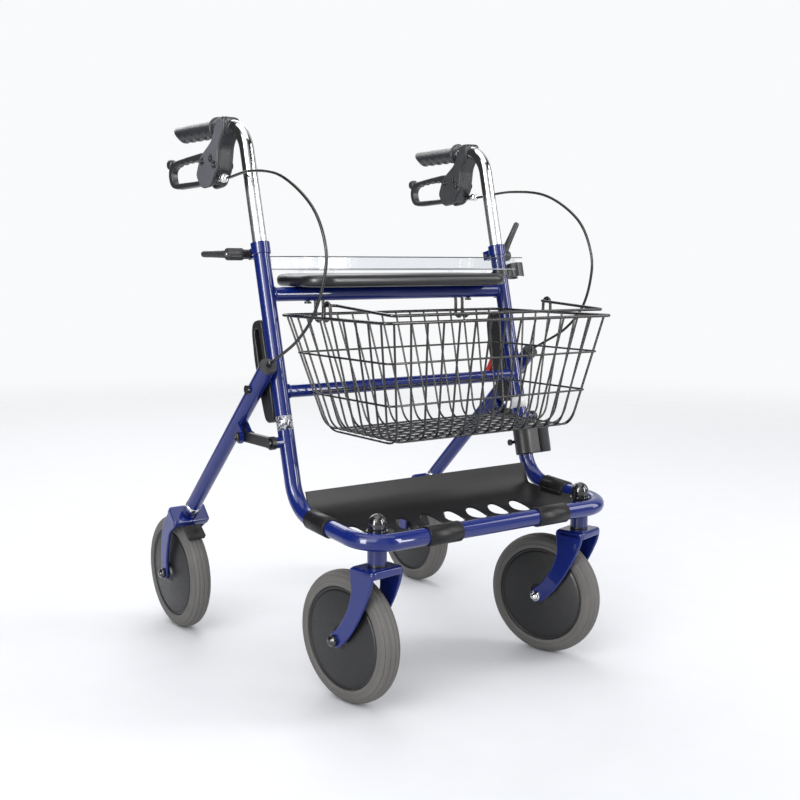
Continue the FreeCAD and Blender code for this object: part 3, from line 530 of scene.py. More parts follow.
def disc_profile():
    """A shallow dome from the tyre up to the hub, with a turned step near the rim."""
    half = [(12.8, 77.9), (14.6, 77.4), (15.2, 75.4), (14.2, 74.6), (14.2, 72.6), (15.0, 71.8)]
    for step in range(11):
        out = 70 - step * 5.2
        half.append((15.3 + 5.4 * (1 - (out / 70) ** 2), out))
    half += [(21.4, 15.0), (23.8, 14.2), (24.6, 12.6), (24.7, 5.0)]
    return [(-along, out) for along, out in half] + [(along, out) for along, out in reversed(half)]


AXLE_CAP = [(0, 8.6), (1.5, 8.8), (4.5, 8.6), (6.2, 7.4), (6.4, 5.6), (8.4, 5.2), (9.0, 3.6), (9.0, 0.6)]
NUT_DOME = [(2.6 + 6.2 * math.sin(step * math.pi / 16), 6.4 * math.cos(step * math.pi / 16))
            for step in range(8)]
AXLE_NUT = [(-0.2, 8.4), (1.2, 8.4), (1.3, 6.6)] + NUT_DOME
AXLE_END = 30.6


def wheel(name, wheel_body, fork_body, joint, outboard):
    """A tyre, its disc, and the axle's two ends: a cap outboard and a domed nut inboard."""
    centre = pin(joint)
    sideways = axis(joint)
    if sideways.x * outboard < 0:
        sideways = sideways * -1
    where = facing(centre, sideways)
    shown(lathe("tyre_look_" + name, tyre_profile(), where, 144), wheel_body, "tyre_rubber",
          stands_for="tyre_" + name)
    shown(lathe("disc_look_" + name, disc_profile(), where, 96), wheel_body, "disc_plastic",
          stands_for="wheel_disc_" + name)
    bolt = lathe("axle_look_" + name, [(-31, 0.5), (-31, 4), (31, 4), (31, 0.5)], where, 24)
    shown(bolt, fork_body, "zinc_steel", stands_for="axle_bolt_" + name)
    for label, profile, outward, look in (("cap", AXLE_CAP, sideways, "cap_plastic"),
                                          ("nut", AXLE_NUT, sideways * -1, "bright_steel")):
        end = facing(centre + outward * AXLE_END * MM, outward)
        shown(lathe(f"axle_{label}_{name}", profile, end, 40), fork_body, "zinc_steel", look)


for side_name, side in SIDES:
    wheel("front_" + side_name, "front_wheel_" + side_name, "caster_" + side_name,
          "front_wheel_spin_" + side_name, side)
    wheel("rear_" + side_name, "rear_wheel_" + side_name, "rear_leg_" + side_name,
          "rear_wheel_spin_" + side_name, side)


# ---- forks

BLADE_INSIDE = 25.0
BLADE_THICKNESS = 5.5
TRAIL = 60.0
AXLE_HEIGHT = 100.0
LEG_SLOPE = 43.9
LEG_ABOVE_PIVOT = 50.0
LEG_LENGTH = 393.0
CLEVIS_ALONG = 132.0
CLEVIS_UNDER = 28.0
CROWN_THICKNESS = 14.0


def blade_pair(name, outline, where, body, corner):
    """The two pressed side plates of a fork."""
    for label, sign in FACES:
        blade = plate(f"{name}_{label}_blade", rounded(outline, corner), sign * BLADE_INSIDE,
                      sign * (BLADE_INSIDE + BLADE_THICKNESS), where, 2.6)
        shown(blade, body, "blue_paint")


def caster_fork(name):
    """A front fork: two curved blades under a rounded crown with a swivel pin."""
    body = "caster_" + name
    sideways = axis("front_wheel_spin_" + name)
    behind = Z_AXIS.cross(sideways)
    foot = pin("swivel_" + name)
    foot.z = 0.0
    where = place(foot, sideways, behind, Z_AXIS)
    down_the_back = [(-24, 218), (26, 218), (25, 204), (22, 181), (31, 153), (50, 124)]
    eye = ((9, 9), (12, -3), (3, -11.5), (-9, -9))
    around_the_axle = [(TRAIL + out, AXLE_HEIGHT + up) for out, up in eye]
    up_the_front = [(38, 101), (22, 119), (7, 141), (-9, 170), (-21, 198)]
    outline = down_the_back + around_the_axle + up_the_front
    blade_pair("front_fork_" + name, outline, where, body, 9.0)
    upright = place(foot, Z_AXIS, behind, sideways)
    crown = plate("front_crown_" + name, rectangle(-24, -30.5, 25, 30.5, 8.0), 206, 219, upright, 4.0)
    shown(crown, body, "blue_paint", stands_for="front_fork_" + name)
    stem = lathe("swivel_pin_" + name, [(214, 1), (214, 9), (219.4, 9), (219.4, 5.9), (262, 5.9), (262, 1)],
                 upright, 32)
    shown(stem, body, "zinc_steel")


def leg_directions(name):
    """Where a rear leg's end is, and the directions down along it and off its underside."""
    pivot = pin("leg_turn_" + name)
    angle = math.radians(LEG_SLOPE)
    down = Vector((0, math.cos(angle), -math.sin(angle)))
    under = Vector((0, -math.sin(angle), -math.cos(angle)))
    return pivot - down * LEG_ABOVE_PIVOT * MM, down, under


def rear_fork(name):
    """The fixed fork: a box-shaped crown on a bright spigot, with curved blades down to the axle."""
    body = "rear_leg_" + name
    end, down, under = leg_directions(name)
    side = dict(SIDES)[name]
    axle = pin("rear_wheel_spin_" + name)
    top = end + down * LEG_LENGTH * MM
    crown_place = place(Vector((axle.x, top.y, top.z)), down, X_AXIS, under)
    crown = plate("rear_crown_" + name, rectangle(-33, -18, 33, 18, 6.0), 0, 15, crown_place, 3.6)
    shown(crown, body, "blue_paint", stands_for="rear_fork_" + name)
    half_crown = under * 17 * MM
    bottom = top + down * CROWN_THICKNESS * MM
    corners = [((spot.y - axle.y) / MM, (spot.z - axle.z) / MM)
               for spot in (top - half_crown, top + half_crown, bottom + half_crown, bottom - half_crown)]
    blade = [(-28, 78), (-17, 50), (-11, 22), (-11.5, 2), (-8, -9), (0, -12), (8, -9), (11.5, 2), (13, 25),
             (8, 60), (-2, 90)]
    outline = corners[:3] + blade + corners[3:]
    blade_pair("rear_fork_" + name, outline, place(axle, X_AXIS, Y_AXIS, Z_AXIS), body, 9.0)
    spigot = lathe("leg_spigot_" + name, [(366, 11), (366, 12.7), (367, 13), (389, 13), (389, 11)],
                   facing(end, down), 40)
    shown(spigot, body, "zinc_steel", "bright_steel")
    clevis = end + (down * CLEVIS_ALONG + under * CLEVIS_UNDER) * MM
    for label, sign in FACES:
        outward = X_AXIS * sign * side
        spot = clevis + outward * 12.6 * MM
        head = button_head(f"clevis_head_{label}_{name}", facing(spot, outward), 7.2, 3.0)
        shown(head, body, "zinc_steel", "dark_steel")


def latch_housing(name, side):
    """The long guide behind an upright: rounded ends, a raised frame around the slot, and a spine."""
    pivot = pin("leg_turn_" + name)
    where = place(Vector((0, pivot.y, pivot.z)), X_AXIS * side, BEHIND, LEAN)
    outline = rounded([(-18, -52), (9, -54), (14, -20), (17, 10), (19, 48), (15, 90), (8, 104), (-18, 104)],
                      13.0)
    slot = rectangle(-7.3, -10, 7.3, 91, 6.5)
    rim = ring_plate("guide_rim_" + name, outline, slot, (0, 40), 229.0, 246.2, where, 3.0)
    shown(rim, "frame", "guide_plastic", stands_for="latch_housing_" + name)
    spine = plate("guide_spine_" + name, outline, 222.6, 229.4, where, 1.6)
    shown(spine, "frame", "guide_plastic")


for side_name, side in SIDES:
    caster_fork(side_name)
    rear_fork(side_name)
    latch_housing(side_name, side)


# ---- handles

HOUSING_MIDDLE = 235.8
LEVER_PIVOT = Vector((HOUSING_MIDDLE, 137, 796))
GRIP_HEIGHT = 845.0
MARK_HEIGHTS = (745, 720, 695)
TUBE_RADIUS = 11.0
TUBE_BEND = 50.0
SPLAY = 3.5


def handle_place(name):
    """Where a handle's own millimetres are: its pieces splay outwards from the upright."""
    tilt = Matrix.Rotation(-math.radians(SPLAY), 3, LEAN)
    flip = Matrix.Diagonal((dict(SIDES)[name], 1, 1))
    columns = [flip @ (tilt @ direction) for direction in (X_AXIS, Y_AXIS, Z_AXIS)]
    where = place(Vector(), *columns)
    where.translation = pin("brake_" + name) - (where @ LEVER_PIVOT)
    return where


def turned(where, direction):
    """A direction of a place, as a direction of the frame."""
    return (where.to_3x3() @ direction).normalized()


def bent(points, bend, steps=28):
    """A line with its inner corners turned into true arcs of one bend radius."""
    corners = [Vector(point) for point in points]
    line = [corners[0]]
    for before, corner, after in zip(corners, corners[1:], corners[2:]):
        inward = (before - corner).normalized()
        outward = (after - corner).normalized()
        half_turn = (math.pi - inward.angle(outward)) / 2
        bisector = (inward + outward).normalized()
        centre = corner + bisector * (bend / math.cos(half_turn))
        first = corner + inward * bend * math.tan(half_turn) - centre
        last = corner + outward * bend * math.tan(half_turn) - centre
        turn = first.angle(last)
        for step in range(steps + 1):
            share = step / steps
            line.append(centre + (first * math.sin((1 - share) * turn) + last * math.sin(share * turn))
                        / math.sin(turn))
    line.append(corners[-1])
    return line


def handle_tube(name):
    """The telescoping tube of a handle, from inside the upright to inside the grip."""
    where = handle_place(name)
    foot_height = 480.0
    foot = (UPRIGHT_OUT, upright_back(foot_height), foot_height)
    corner = (UPRIGHT_OUT, upright_back(GRIP_HEIGHT), GRIP_HEIGHT)
    end = (UPRIGHT_OUT, 216.0, GRIP_HEIGHT)
    line = [where @ spot for spot in bent([foot, corner, end], TUBE_BEND)]
    tube = meshed(wires("handle_tube_look_" + name, [line], TUBE_RADIUS, sides=12))
    shown(tube, "handle_" + name, "chrome_tube", stands_for="handle_tube_" + name)
    mark = [(10.6, 2.6), (11.15, 2.4), (TUBE_RADIUS, 1.2), (10.7, 0.4)]
    for number, height in enumerate(MARK_HEIGHTS):
        stop = where @ Vector((UPRIGHT_OUT, upright_back(height), height))
        dimple = lathe(f"height_mark_{number}_{name}", mark, facing(stop, turned(where, BEHIND)), 24)
        shown(dimple, "handle_" + name, "chrome_tube", "dark_steel")


def grip(name):
    """A rubber grip: a ring flange, finger ridges underneath and a slanting rounded end."""
    where = handle_place(name)
    front = 110.0
    end = 235.0
    flange = 9.5
    slant = 10.92
    ridge_pitch = 22.5
    sides = 56
    rows = []
    for along, radius in ((0, 11.2), (0, 16.6), (0.9, 18.0), (3.0, 18.5), (5.6, 18.0), (7.0, 16.4),
                          (8.4, 14.6)):
        rows.append([(front + along, radius)] * sides)
    steps = 70
    for step in range(steps + 1):
        share = step / steps
        row = []
        for index in range(sides):
            turn = 2 * math.pi * index / sides
            below = max(0.0, -math.sin(turn)) ** 0.8
            stop = end + slant * math.sin(turn)
            along = front + flange + (stop - front - flange) * share
            ridge = math.cos(2 * math.pi * (along - front - 20) / ridge_pitch)
            rear = min(1.0, max(0.0, (1 - share) / 0.05))
            radius = 13.2 + 1.3 * below * ridge + 0.35 * math.sin(along * 2.1) * (1 - below)
            radius *= 0.82 + 0.18 * math.sqrt(1 - (1 - rear) ** 2)
            row.append((along, radius))
        rows.append(row)
    points = []
    for row in rows:
        for index, (along, radius) in enumerate(row):
            turn = 2 * math.pi * index / sides
            points.append(where @ Vector((UPRIGHT_OUT + radius * math.cos(turn), along,
                                          GRIP_HEIGHT + radius * math.sin(turn))))
    faces = band_faces(len(rows), sides) + end_faces(len(rows), sides)
    shown(mesh_piece("grip_look_" + name, points, faces), "handle_" + name, "grip_rubber",
          stands_for="grip_" + name)


HOUSING = [(70, 860), (91, 860), (111, 826), (146, 805), (159, 776), (144, 754), (112, 757), (94, 780),
           (88, 816), (72, 838)]
SCREWS = ((110, 799), (100, 789), (137, 796))


def brake_housing(name):
    """Two moulded cheeks on a core, each with a raised grey panel and three screws."""
    where = handle_place(name)
    body = "handle_" + name
    middle = HOUSING_MIDDLE
    core = [(70, 860), (90, 860), (109, 828), (116, 757), (94, 780), (88, 816), (72, 838)]
    piece = plate("housing_core_" + name, rounded(core, 6.0), middle - 9, middle + 9, where, 1.0)
    shown(piece, body, "brake_plastic", stands_for="brake_housing_" + name)
    panel = [(73, 857), (90, 857), (109, 824), (144, 803), (157, 776), (143, 756), (113, 759), (96, 781),
             (90, 817), (75, 839)]
    ring = [(-0.4, 6.4), (0.7, 6.2), (0.7, 4.4), (0, 4.2)]
    for label, sign in FACES:
        cheek = plate(f"housing_{label}_{name}", rounded(HOUSING, 9.0), middle + sign * 6.9,
                      middle + sign * 14.5, where, 3.4)
        shown(cheek, body, "brake_plastic")
        face = plate(f"housing_panel_{label}_{name}", rounded(panel, 6.0), middle + sign * 13.6,
                     middle + sign * 15.3, where, 0.6)
        shown(face, body, "brake_plastic", "brake_panel" if label == "outer" else "holder_face")
        for number, (back, height) in enumerate(SCREWS):
            spot = where @ Vector((middle + sign * 15.2, back, height))
            outward = turned(where, X_AXIS * sign)
            well = lathe(f"screw_well_{label}_{number}_{name}", ring, facing(spot, outward), 32)
            shown(well, body, "brake_plastic")
            head = button_head(f"screw_{label}_{number}_{name}", facing(spot, outward), 3.9, 1.7)
            standing = "lever_screws_" + name if label == "outer" and number == 0 else None
            shown(head, body, "zinc_steel", "dark_steel", stands_for=standing)
    bridge = [(74, 852), (92, 852), (92, 826), (82, 826)]
    front = plate("housing_nose_" + name, rounded(bridge, 4.0), middle - 13, middle + 13, where, 3.0)
    shown(front, body, "brake_plastic")


def brake_lever(name):
    """A closed loop for the fingers, with waves under its upper arm and a rounded knob at its end."""
    where = handle_place(name)
    outline = rounded([(125, 786), (127, 804), (150, 812), (200, 808.5), (244, 804), (262, 800), (269, 782),
                       (261, 762), (240, 757.5), (160, 760), (130, 769)], 12.0, 8)
    window = rounded([(161, 768.5), (161, 799), (200, 799), (240, 795.5), (257, 787), (252, 767)], 9.0, 8)
    dense = []
    for start, end in zip(window, window[1:] + window[:1]):
        pieces = max(1, int((end - start).length / 2))
        for step in range(pieces):
            spot = start.lerp(end, step / pieces)
            if spot.y > 788 and 168 < spot.x < 242:
                spot = spot + Vector((0, 1.1 * math.sin((spot.x - 168) * 2 * math.pi / 18.5)))
            dense.append(spot)
    loop = ring_plate("lever_look_" + name, outline, dense, (206, 784), HOUSING_MIDDLE - 6.25,
                      HOUSING_MIDDLE + 6.25, where, 2.6)
    shown(loop, "brake_lever_" + name, "brake_plastic", stands_for="brake_lever_" + name)
    spot = where @ Vector((HOUSING_MIDDLE - 7.6, 265, 799))
    across = turned(where, X_AXIS)
    knob = [(0, 1), (0.2, 5), (1.4, 7.2), (4, 8.4), (7.6, 8.8), (11.2, 8.4), (13.8, 7.2), (15.0, 5),
            (15.2, 1)]
    shown(lathe("lever_knob_" + name, knob, facing(spot, across), 40), "brake_lever_" + name, "brake_plastic")


def cable_adjuster(name):
    """A bright knurled barrel in front of the housing."""
    where = handle_place(name)
    spot = where @ Vector((245, 70, 768))
    back = turned(where, Y_AXIS)
    profile = [(0, 2.6), (0, 3.6), (3, 4.2), (5, 4.4), (6, 6.2), (7, 6.8), (13.6, 6.8), (14.6, 6.2),
               (15, 4.5), (34, 4.5), (34, 1)]
    barrel = lathe("adjuster_look_" + name, profile, facing(spot, back), 96, 16, 0.7, (5, 6))
    shown(barrel, "handle_" + name, "zinc_steel", "bright_steel", stands_for="cable_adjuster_" + name)


ARM_OUT = 33.0
SCREW_OUT = 43.2


def clamp_lever(name, side):
    """A black lever: a neck, a ribbed hub with a recessed screw and a thin tapered arm."""
    centre = pin("clamp_turn_" + name)
    body = "clamp_lever_" + name
    outward = X_AXIS * side
    hub = [(-9, 0.5), (-9, 3), (7, 3), (7, 6.4), (8.5, 7.2), (18, 7.4), (20, 8.8), (21, 9.5), (44, 9.5),
           (45.6, 8.8), (46, 7.6), (46, 5.6), (43, 5.3), (43, 4.0), (44.2, 3.2), (44.2, 0.5)]
    piece = lathe("clamp_hub_" + name, hub, facing(centre, outward), 96, 14, 0.9, (7, 8))
    shown(piece, body, "clamp_plastic", stands_for="clamp_lever_" + name)
    screw = button_head("clamp_screw_" + name, facing(centre + outward * SCREW_OUT * MM, outward), 4.2, 1.8)
    shown(screw, body, "zinc_steel")
    start = centre + outward * ARM_OUT * MM
    arm = Vector((0, -0.17, 0.98)) if side > 0 else Y_AXIS
    slanted = (arm * 0.927 + outward * 0.375).normalized()
    taper = [(0, 0.5), (0, 6.6), (10, 6.4), (24, 5.6), (44, 5.0), (60, 4.9), (62.6, 4.3), (63.8, 3.0),
             (64, 0.5)]
    shown(lathe("clamp_arm_" + name, taper, facing(start, slanted), 40), body, "clamp_plastic")


def brake_cable(name, side):
    """The cable's free loop, in three stretches along the handle, the slide and the leg."""
    where = handle_place(name)
    end, down, _ = leg_directions(name)
    drop = 13.0 if name == "left" else 0.0
    loop = [(254, -20, 773, 0.9), (255, -108, 761, 0.8), (252, -186, 716, 0.5), (251, -219, 660, 0.3),
            (254, -216, 612, 0.1), (258, -194, 566, 0), (260, -154, 531, 0), (260, -102, 505, 0)]
    points = [where @ Vector((245, 84, 768)), where @ Vector((246, 62, 768))]
    points += [Vector((side * out, back, height - drop * share)) * MM for out, back, height, share in loop]
    points += [end - down * 7 * MM, end + down * 22 * MM]
    line = through(points, 10)
    stretches = ((0, 32, "handle_" + name, "frame"), (32, 75, "frame", "slider_" + name),
                 (75, len(line) - 1, "slider_" + name, "rear_leg_" + name))
    for number, (first, last, before, after) in enumerate(stretches):
        piece = meshed(wires(f"cable_{name}_{number}", [line[first:last + 1]], 2.2, sides=4))
        painted(piece, "cable_jacket")
        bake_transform(piece)
        if number == 0:
            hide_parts("brake_cable_" + name)
    collar = lathe("cable_collar_" + name, [(-3, 2.4), (-3, 3.6), (0, 4.4), (8, 4.6), (8, 2.4)],
                   facing(end - down * 14 * MM, down), 32)
    shown(collar, "rear_leg_" + name, "plug_plastic", "cap_plastic")


for side_name, side in SIDES:
    handle_tube(side_name)
    grip(side_name)
    brake_housing(side_name)
    brake_lever(side_name)
    cable_adjuster(side_name)
    clamp_lever(side_name, side)
    brake_cable(side_name, side)


# ---- seat

def oblong(width, depth, corner, steps=14):
    """A rectangle in plan with round corners, as points in order."""
    half_width = width / 2 - corner
    half_depth = depth / 2 - corner
    line = []
    for quarter, (across, deep) in enumerate(((1, 1), (-1, 1), (-1, -1), (1, -1))):
        for step in range(steps + 1):
            turn = math.pi / 2 * (quarter + step / steps)
            line.append((across * half_width + corner * math.cos(turn),
                         deep * half_depth + corner * math.sin(turn)))
    return line


def seat():
    """A moulded pad with a rolled edge, a parting seam below it and a gently crowned top."""
    low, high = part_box("seat_pad")
    width, depth, thick = ((high - low) / MM)[:]
    middle = Vector(((low.x + high.x) / 2, (low.y + high.y) / 2, low.z))
    rows = [(40, 0.0), (12, 0.0), (6.0, 0.5), (2.8, 2.0), (1.0, 4.6), (0.2, 7.6), (0.0, 10.0), (0.4, 12.6),
            (1.8, 15.2), (4.2, 17.2), (7.6, 18.5), (12, 19.2), (20, 19.6), (32, 19.85), (50, 20.0)]
    points = []
    for inset, height in rows:
        for x, y in oblong(width - 2 * inset, depth - 2 * inset, max(6.0, 42.0 - inset)):
            points.append(middle + Vector((x, y, height * thick / 20)) * MM)
    count = len(points) // len(rows)
    faces = end_faces(len(rows), count) + band_faces(len(rows), count)
    shown(mesh_piece("seat_look", points, faces), "frame", "seat_plastic", stands_for="seat_pad")


seat()


# ---- basket

RIM = {"half": 213.0, "front": -306.0, "back": -28.0, "height": 562.0}
FLOOR = {"half": 179.0, "front": -271.0, "back": -88.0, "height": 388.0}
HOOP_HEIGHTS = (506.0, 446.0)
HOOP_CORNER = 13.0
WIRE_BEND = 24.0
MAIN_WIRE = 2.4
FINE_WIRE = 1.6


def level(height):
    """The basket's half width, front and back at a height."""
    share = (height - FLOOR["height"]) / (RIM["height"] - FLOOR["height"])
    return [FLOOR[key] + (RIM[key] - FLOOR[key]) * share for key in ("half", "front", "back")]


def hoop(height, grow=0.0):
    """A closed wire around the basket."""
    half, front, back = level(height)
    half, front, back = half + grow, front - grow, back + grow
    corners = [(-half, front, height), (half, front, height), (half, back, height), (-half, back, height)]
    return [spot * MM for spot in rounded(corners, HOOP_CORNER, 8)]


def spread(count, half):
    """Even steps between two ends."""
    return [-half + 2 * half * index / (count - 1) for index in range(count)]


def bent_wire(path, bend, steps=6):
    """An open wire's line in metres, bent at its corners."""
    return [spot * MM for spot in rounded(path, bend, steps, closed=False)]


def basket():
    """Coated wires: hoops around the sides, and bent wires that run down, across the floor and up again."""
    inset = MAIN_WIRE
    heavy = wires("basket_hoops", [hoop(RIM["height"] - 0.5)], MAIN_WIRE, closed=(0,))
    shown(heavy, "basket", "coated_wire", stands_for="basket")
    fine = [hoop(height, -inset) for height in HOOP_HEIGHTS]
    top = RIM["height"] - 1
    bottom = FLOOR["height"] + 1
    for rim_x, floor_x in zip(spread(15, RIM["half"] - 15), spread(15, FLOOR["half"] - 12)):
        path = [(rim_x, RIM["front"] + inset, top), (floor_x, FLOOR["front"] + inset, bottom),
                (floor_x, FLOOR["back"] - inset, bottom), (rim_x, RIM["back"] - inset, top)]
        fine.append(bent_wire(path, WIRE_BEND, 7))
    rim_middle = (RIM["front"] + RIM["back"]) / 2
    floor_middle = (FLOOR["front"] + FLOOR["back"]) / 2
    for rim_y, floor_y in zip(spread(9, 124), spread(9, 80)):
        rim_x = RIM["half"] - inset
        floor_x = FLOOR["half"] - inset
        path = [(-rim_x, rim_middle + rim_y, top), (-floor_x, floor_middle + floor_y, bottom + 2),
                (floor_x, floor_middle + floor_y, bottom + 2), (rim_x, rim_middle + rim_y, top)]
        fine.append(bent_wire(path, WIRE_BEND, 7))
    shown(wires("basket_wires", fine, FINE_WIRE, closed=(0, 1)), "basket", "coated_wire")
    pivot = pin("basket_handle_swing")
    eyes = []
    half = RIM["half"] - 0.5
    low = pivot.z / MM - 20
    high = pivot.z / MM + 6
    back = pivot.y / MM
    for side in (1, -1):
        path = [(side * half, back - 9, low), (side * half, back - 8, high - 6), (side * half, back, high),
                (side * half, back + 8, high - 6), (side * half, back + 9, low)]
        eyes.append(bent_wire(path, 7.0))
    shown(wires("basket_eyes", eyes, MAIN_WIRE), "basket", "coated_wire")


def tray_edges():
    """Painted lines on the clear tray: a painted dark line along its rim and a painted bright glint near its
    floor's edge, where light bends and reflects at the clear edges.
    """
    low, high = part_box("tray")
    middle = (low + high) / 2
    width, depth = (high.x - low.x) / MM, (high.y - low.y) / MM
    for name, inset, corner, height, radius, look in (
            ("tray_rim_painted_dark_line", 0.6, 27.5, high.z - 0.5 * MM, 0.7, "plug_plastic"),
            ("tray_foot_painted_glint_line", 11.0, 20.0, low.z + 5.8 * MM, 0.8, "painted_glint_line")):
        line = [Vector((middle.x + x * MM, middle.y + y * MM, height))
                for x, y in oblong(width - 2 * inset, depth - 2 * inset, corner)]
        shown(wires(name, [line], radius, closed=(0,)), "tray", "clear_plastic", look)


def hooks():
    """Two wire hooks from behind the seat bar that carry the basket's rear rim."""
    low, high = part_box("basket_hooks")
    back = (low.y + high.y) / 2 / MM
    across = high.x / MM - 3
    paths = []
    for side in (1, -1):
        for shift in (-7, 7):
            x = side * across + shift
            path = [(x, back + 4, 596), (x, back + 1, 576), (x, back + 1, 553), (x, back - 8, 549.5),
                    (x, back - 14, 553.2)]
            paths.append(bent_wire(path, 7.0))
    shown(wires("hook_wires", paths, 2.6), "frame", "coated_wire", stands_for="basket_hooks")


basket()
hooks()
tray_edges()


# ---- small parts on the frame

def on_upright(height, side):
    """A point of an upright's centre line."""
    return Vector((side * UPRIGHT_OUT, upright_back(height), height)) * MM


def band(name, start, end, side, look):
    """A reflective band wrapped around an upright."""
    bottom = on_upright(start, side)
    radius = 12.62
    length = (end - start) / LEAN.z
    shape = lathe(name, [(0, radius - 0.2), (0, radius), (length, radius), (length, radius - 0.2)],
                  facing(bottom, LEAN), 48)
    shown(shape, "frame", "blue_paint", look)


def weld(name, centre, direction, radius, bead=1.6):
    """A weld bead around a tube's end."""
    count = 10
    turns = [2 * math.pi * step / count for step in range(count)]
    profile = [(bead * math.cos(turn), radius + bead * math.sin(turn)) for turn in turns]
    shape = lathe(name, profile + profile[:1], facing(centre, direction), 48)
    shown(shape, "frame", "blue_paint")


CROSSBAR_HEIGHT = 448.4
SEAT_BAR_HEIGHT = 592.5
COLLAR_HEIGHT = 669.0
COLLAR_REACH = 16.5
for side_name, side in SIDES:
    band("reflector_" + side_name, 392, 413, side, "silver_band" if side < 0 else "white_band")
    inner_face = X_AXIS * side * -13.1 * MM
    weld("crossbar_weld_" + side_name, on_upright(CROSSBAR_HEIGHT, side) + inner_face, X_AXIS, 10.2)
    seat_bar_end = on_upright(SEAT_BAR_HEIGHT, side) + Y_AXIS * 4 * MM + inner_face
    weld("seat_bar_weld_" + side_name, seat_bar_end, X_AXIS, 11.2)
    collar_foot = on_upright(COLLAR_HEIGHT, side) - LEAN * COLLAR_REACH * MM
    weld("collar_weld_" + side_name, collar_foot, LEAN, 13.0, 1.2)


def cane_cup():
    """A block clamped around the left upright with a round cup on its outer side."""
    foot_height = 312.0
    out_of_upright = 36.0
    centre = on_upright(foot_height, 1) + X_AXIS * out_of_upright * MM
    where = place(centre, LEAN, X_AXIS, BEHIND)
    reach = 18.0
    turns = [math.pi * step / 24 for step in range(25)]
    clamp = [(-15.2, -reach), (-15.2, reach)]
    clamp += [(2 - out_of_upright - reach * math.sin(turn), reach * math.cos(turn)) for turn in turns]
    block = plate("cup_block", clamp, 0, 46, where, 2.4)
    shown(block, "frame", "holder_plastic", stands_for="cane_cup")
    profile = [(0, 0.5), (0, 16.5), (1.5, 18.0), (40, 18.4), (41, 19.4), (46.5, 19.4), (48, 18.4), (48, 15.2),
               (46, 15), (6, 15), (6, 0.5)]
    shown(lathe("cup_bowl", profile, facing(centre, LEAN), 56), "frame", "holder_plastic")


def carved(obj, cutters):
    """The same piece with the cutters' shapes taken out of it."""
    tool = added("cutter", cutters)
    cut = obj.modifiers.new("openings", "BOOLEAN")
    cut.object = tool
    cut.solver = "EXACT"
    bpy.context.view_layer.update()
    mesh = bpy.data.meshes.new_from_object(obj.evaluated_get(bpy.context.evaluated_depsgraph_get()))
    obj.modifiers.clear()
    obj.data = mesh
    bpy.data.objects.remove(tool)
    return obj


def shelf_trough():
    """A smooth sheet, bent up at its back edge and at both ends, before its openings are cut."""
    profile = through([(-283, 258), (-280, 246), (-266, 238), (-232, 235.2), (-192, 235.4), (-158, 239),
                       (-132, 253), (-114, 275), (-105, 301)], 8)
    half = 219.0
    flat_half = 168.0
    curled_top = 268.0
    columns = 72
    half_thickness = 1.5
    points = []
    for offset in (half_thickness, -half_thickness):
        for row, spot in enumerate(profile):
            before = profile[max(row - 1, 0)]
            after = profile[min(row + 1, len(profile) - 1)]
            run = (after - before).normalized()
            for column in range(columns + 1):
                x = -half + 2 * half * column / columns
                curl = max(0.0, (abs(x) - flat_half) / (half - flat_half)) ** 2.4
                height = spot.y + curl * max(0.0, curled_top - spot.y) * 0.86
                points.append(Vector((x, spot.x - run.y * offset, height + run.x * offset)) * MM)
    rows = len(profile)
    wide = columns + 1
    sheet = rows * wide
    faces = []
    for row in range(rows - 1):
        for column in range(columns):
            corner = row * wide + column
            square = [corner, corner + 1, corner + wide + 1, corner + wide]
            faces.append(square)
            faces.append([sheet + index for index in reversed(square)])
    rim = list(range(wide)) + [row * wide + columns for row in range(1, rows)]
    rim += [(rows - 1) * wide + column for column in range(columns - 1, -1, -1)]
    rim += [row * wide for row in range(rows - 2, 0, -1)]
    for here, following in zip(rim, rim[1:] + rim[:1]):
        faces.append([here, following, sheet + following, sheet + here])
    return mesh_piece("shelf_trough", points, faces)


def oval_cutters():
    """The upright oval posts that cut the shelf's row of openings."""
    ovals = bmesh.new()
    openings = 8
    pitch = 46.4
    half_sizes = Vector((15.5, 20.0, 24.0)) * MM
    for number in range(openings):
        centre = Matrix.Translation(Vector((pitch * (number - (openings - 1) / 2), -160, 242)) * MM)
        size = Matrix.Diagonal((*half_sizes, 1.0))
        bmesh.ops.create_cone(ovals, cap_ends=True, segments=40, radius1=1, radius2=1, depth=2,
                              matrix=centre @ size)
    cutters = bpy.data.meshes.new("ovals")
    ovals.to_mesh(cutters)
    ovals.free()
    return cutters


def shelf():
    """A smooth trough with a row of oval openings, held by sleeves on the tube."""
    trough = carved(shelf_trough(), oval_cutters())
    shown(soften(trough, 0.8, 2, 50.0), "frame", "shelf_plastic", stands_for="lower_shelf")
    ahead = Vector((0, 1, 0.07)).normalized()
    for name, side in SIDES:
        arm = Vector((side * UPRIGHT_OUT, -200, 265.08)) * MM
        middle = Vector((side * 105.0 - 30, -294, 258.5)) * MM
        for label, start, direction, length in (("side", arm, ahead, 54), ("front", middle, X_AXIS, 60)):
            outline = [(0, 12.7), (0, 14.4), (1.0, 15.2), (length - 1, 15.2), (length, 14.4), (length, 12.7),
                       (0, 12.7)]
            shape = lathe(f"shelf_sleeve_{label}_{name}", outline, facing(start, direction), 48)
            shown(shape, "frame", "shelf_plastic")
        where = place(Vector(), X_AXIS * side, Y_AXIS, Z_AXIS)
        tab = rounded([(-200, 250), (-154, 254), (-154, 268), (-200, 266)], 3.0)
        shown(plate(f"shelf_tab_{name}", tab, 214, 226, where, 1.5), "frame", "shelf_plastic")
        lip = rounded([(-297, 243.4), (-280, 243.4), (-276, 262), (-290, 262)], 3.0)
        shown(plate(f"shelf_lip_{name}", lip, 75, 135, where, 1.5), "frame", "shelf_plastic")


cane_cup()
shelf()


# ---- floor, light and camera, in metres

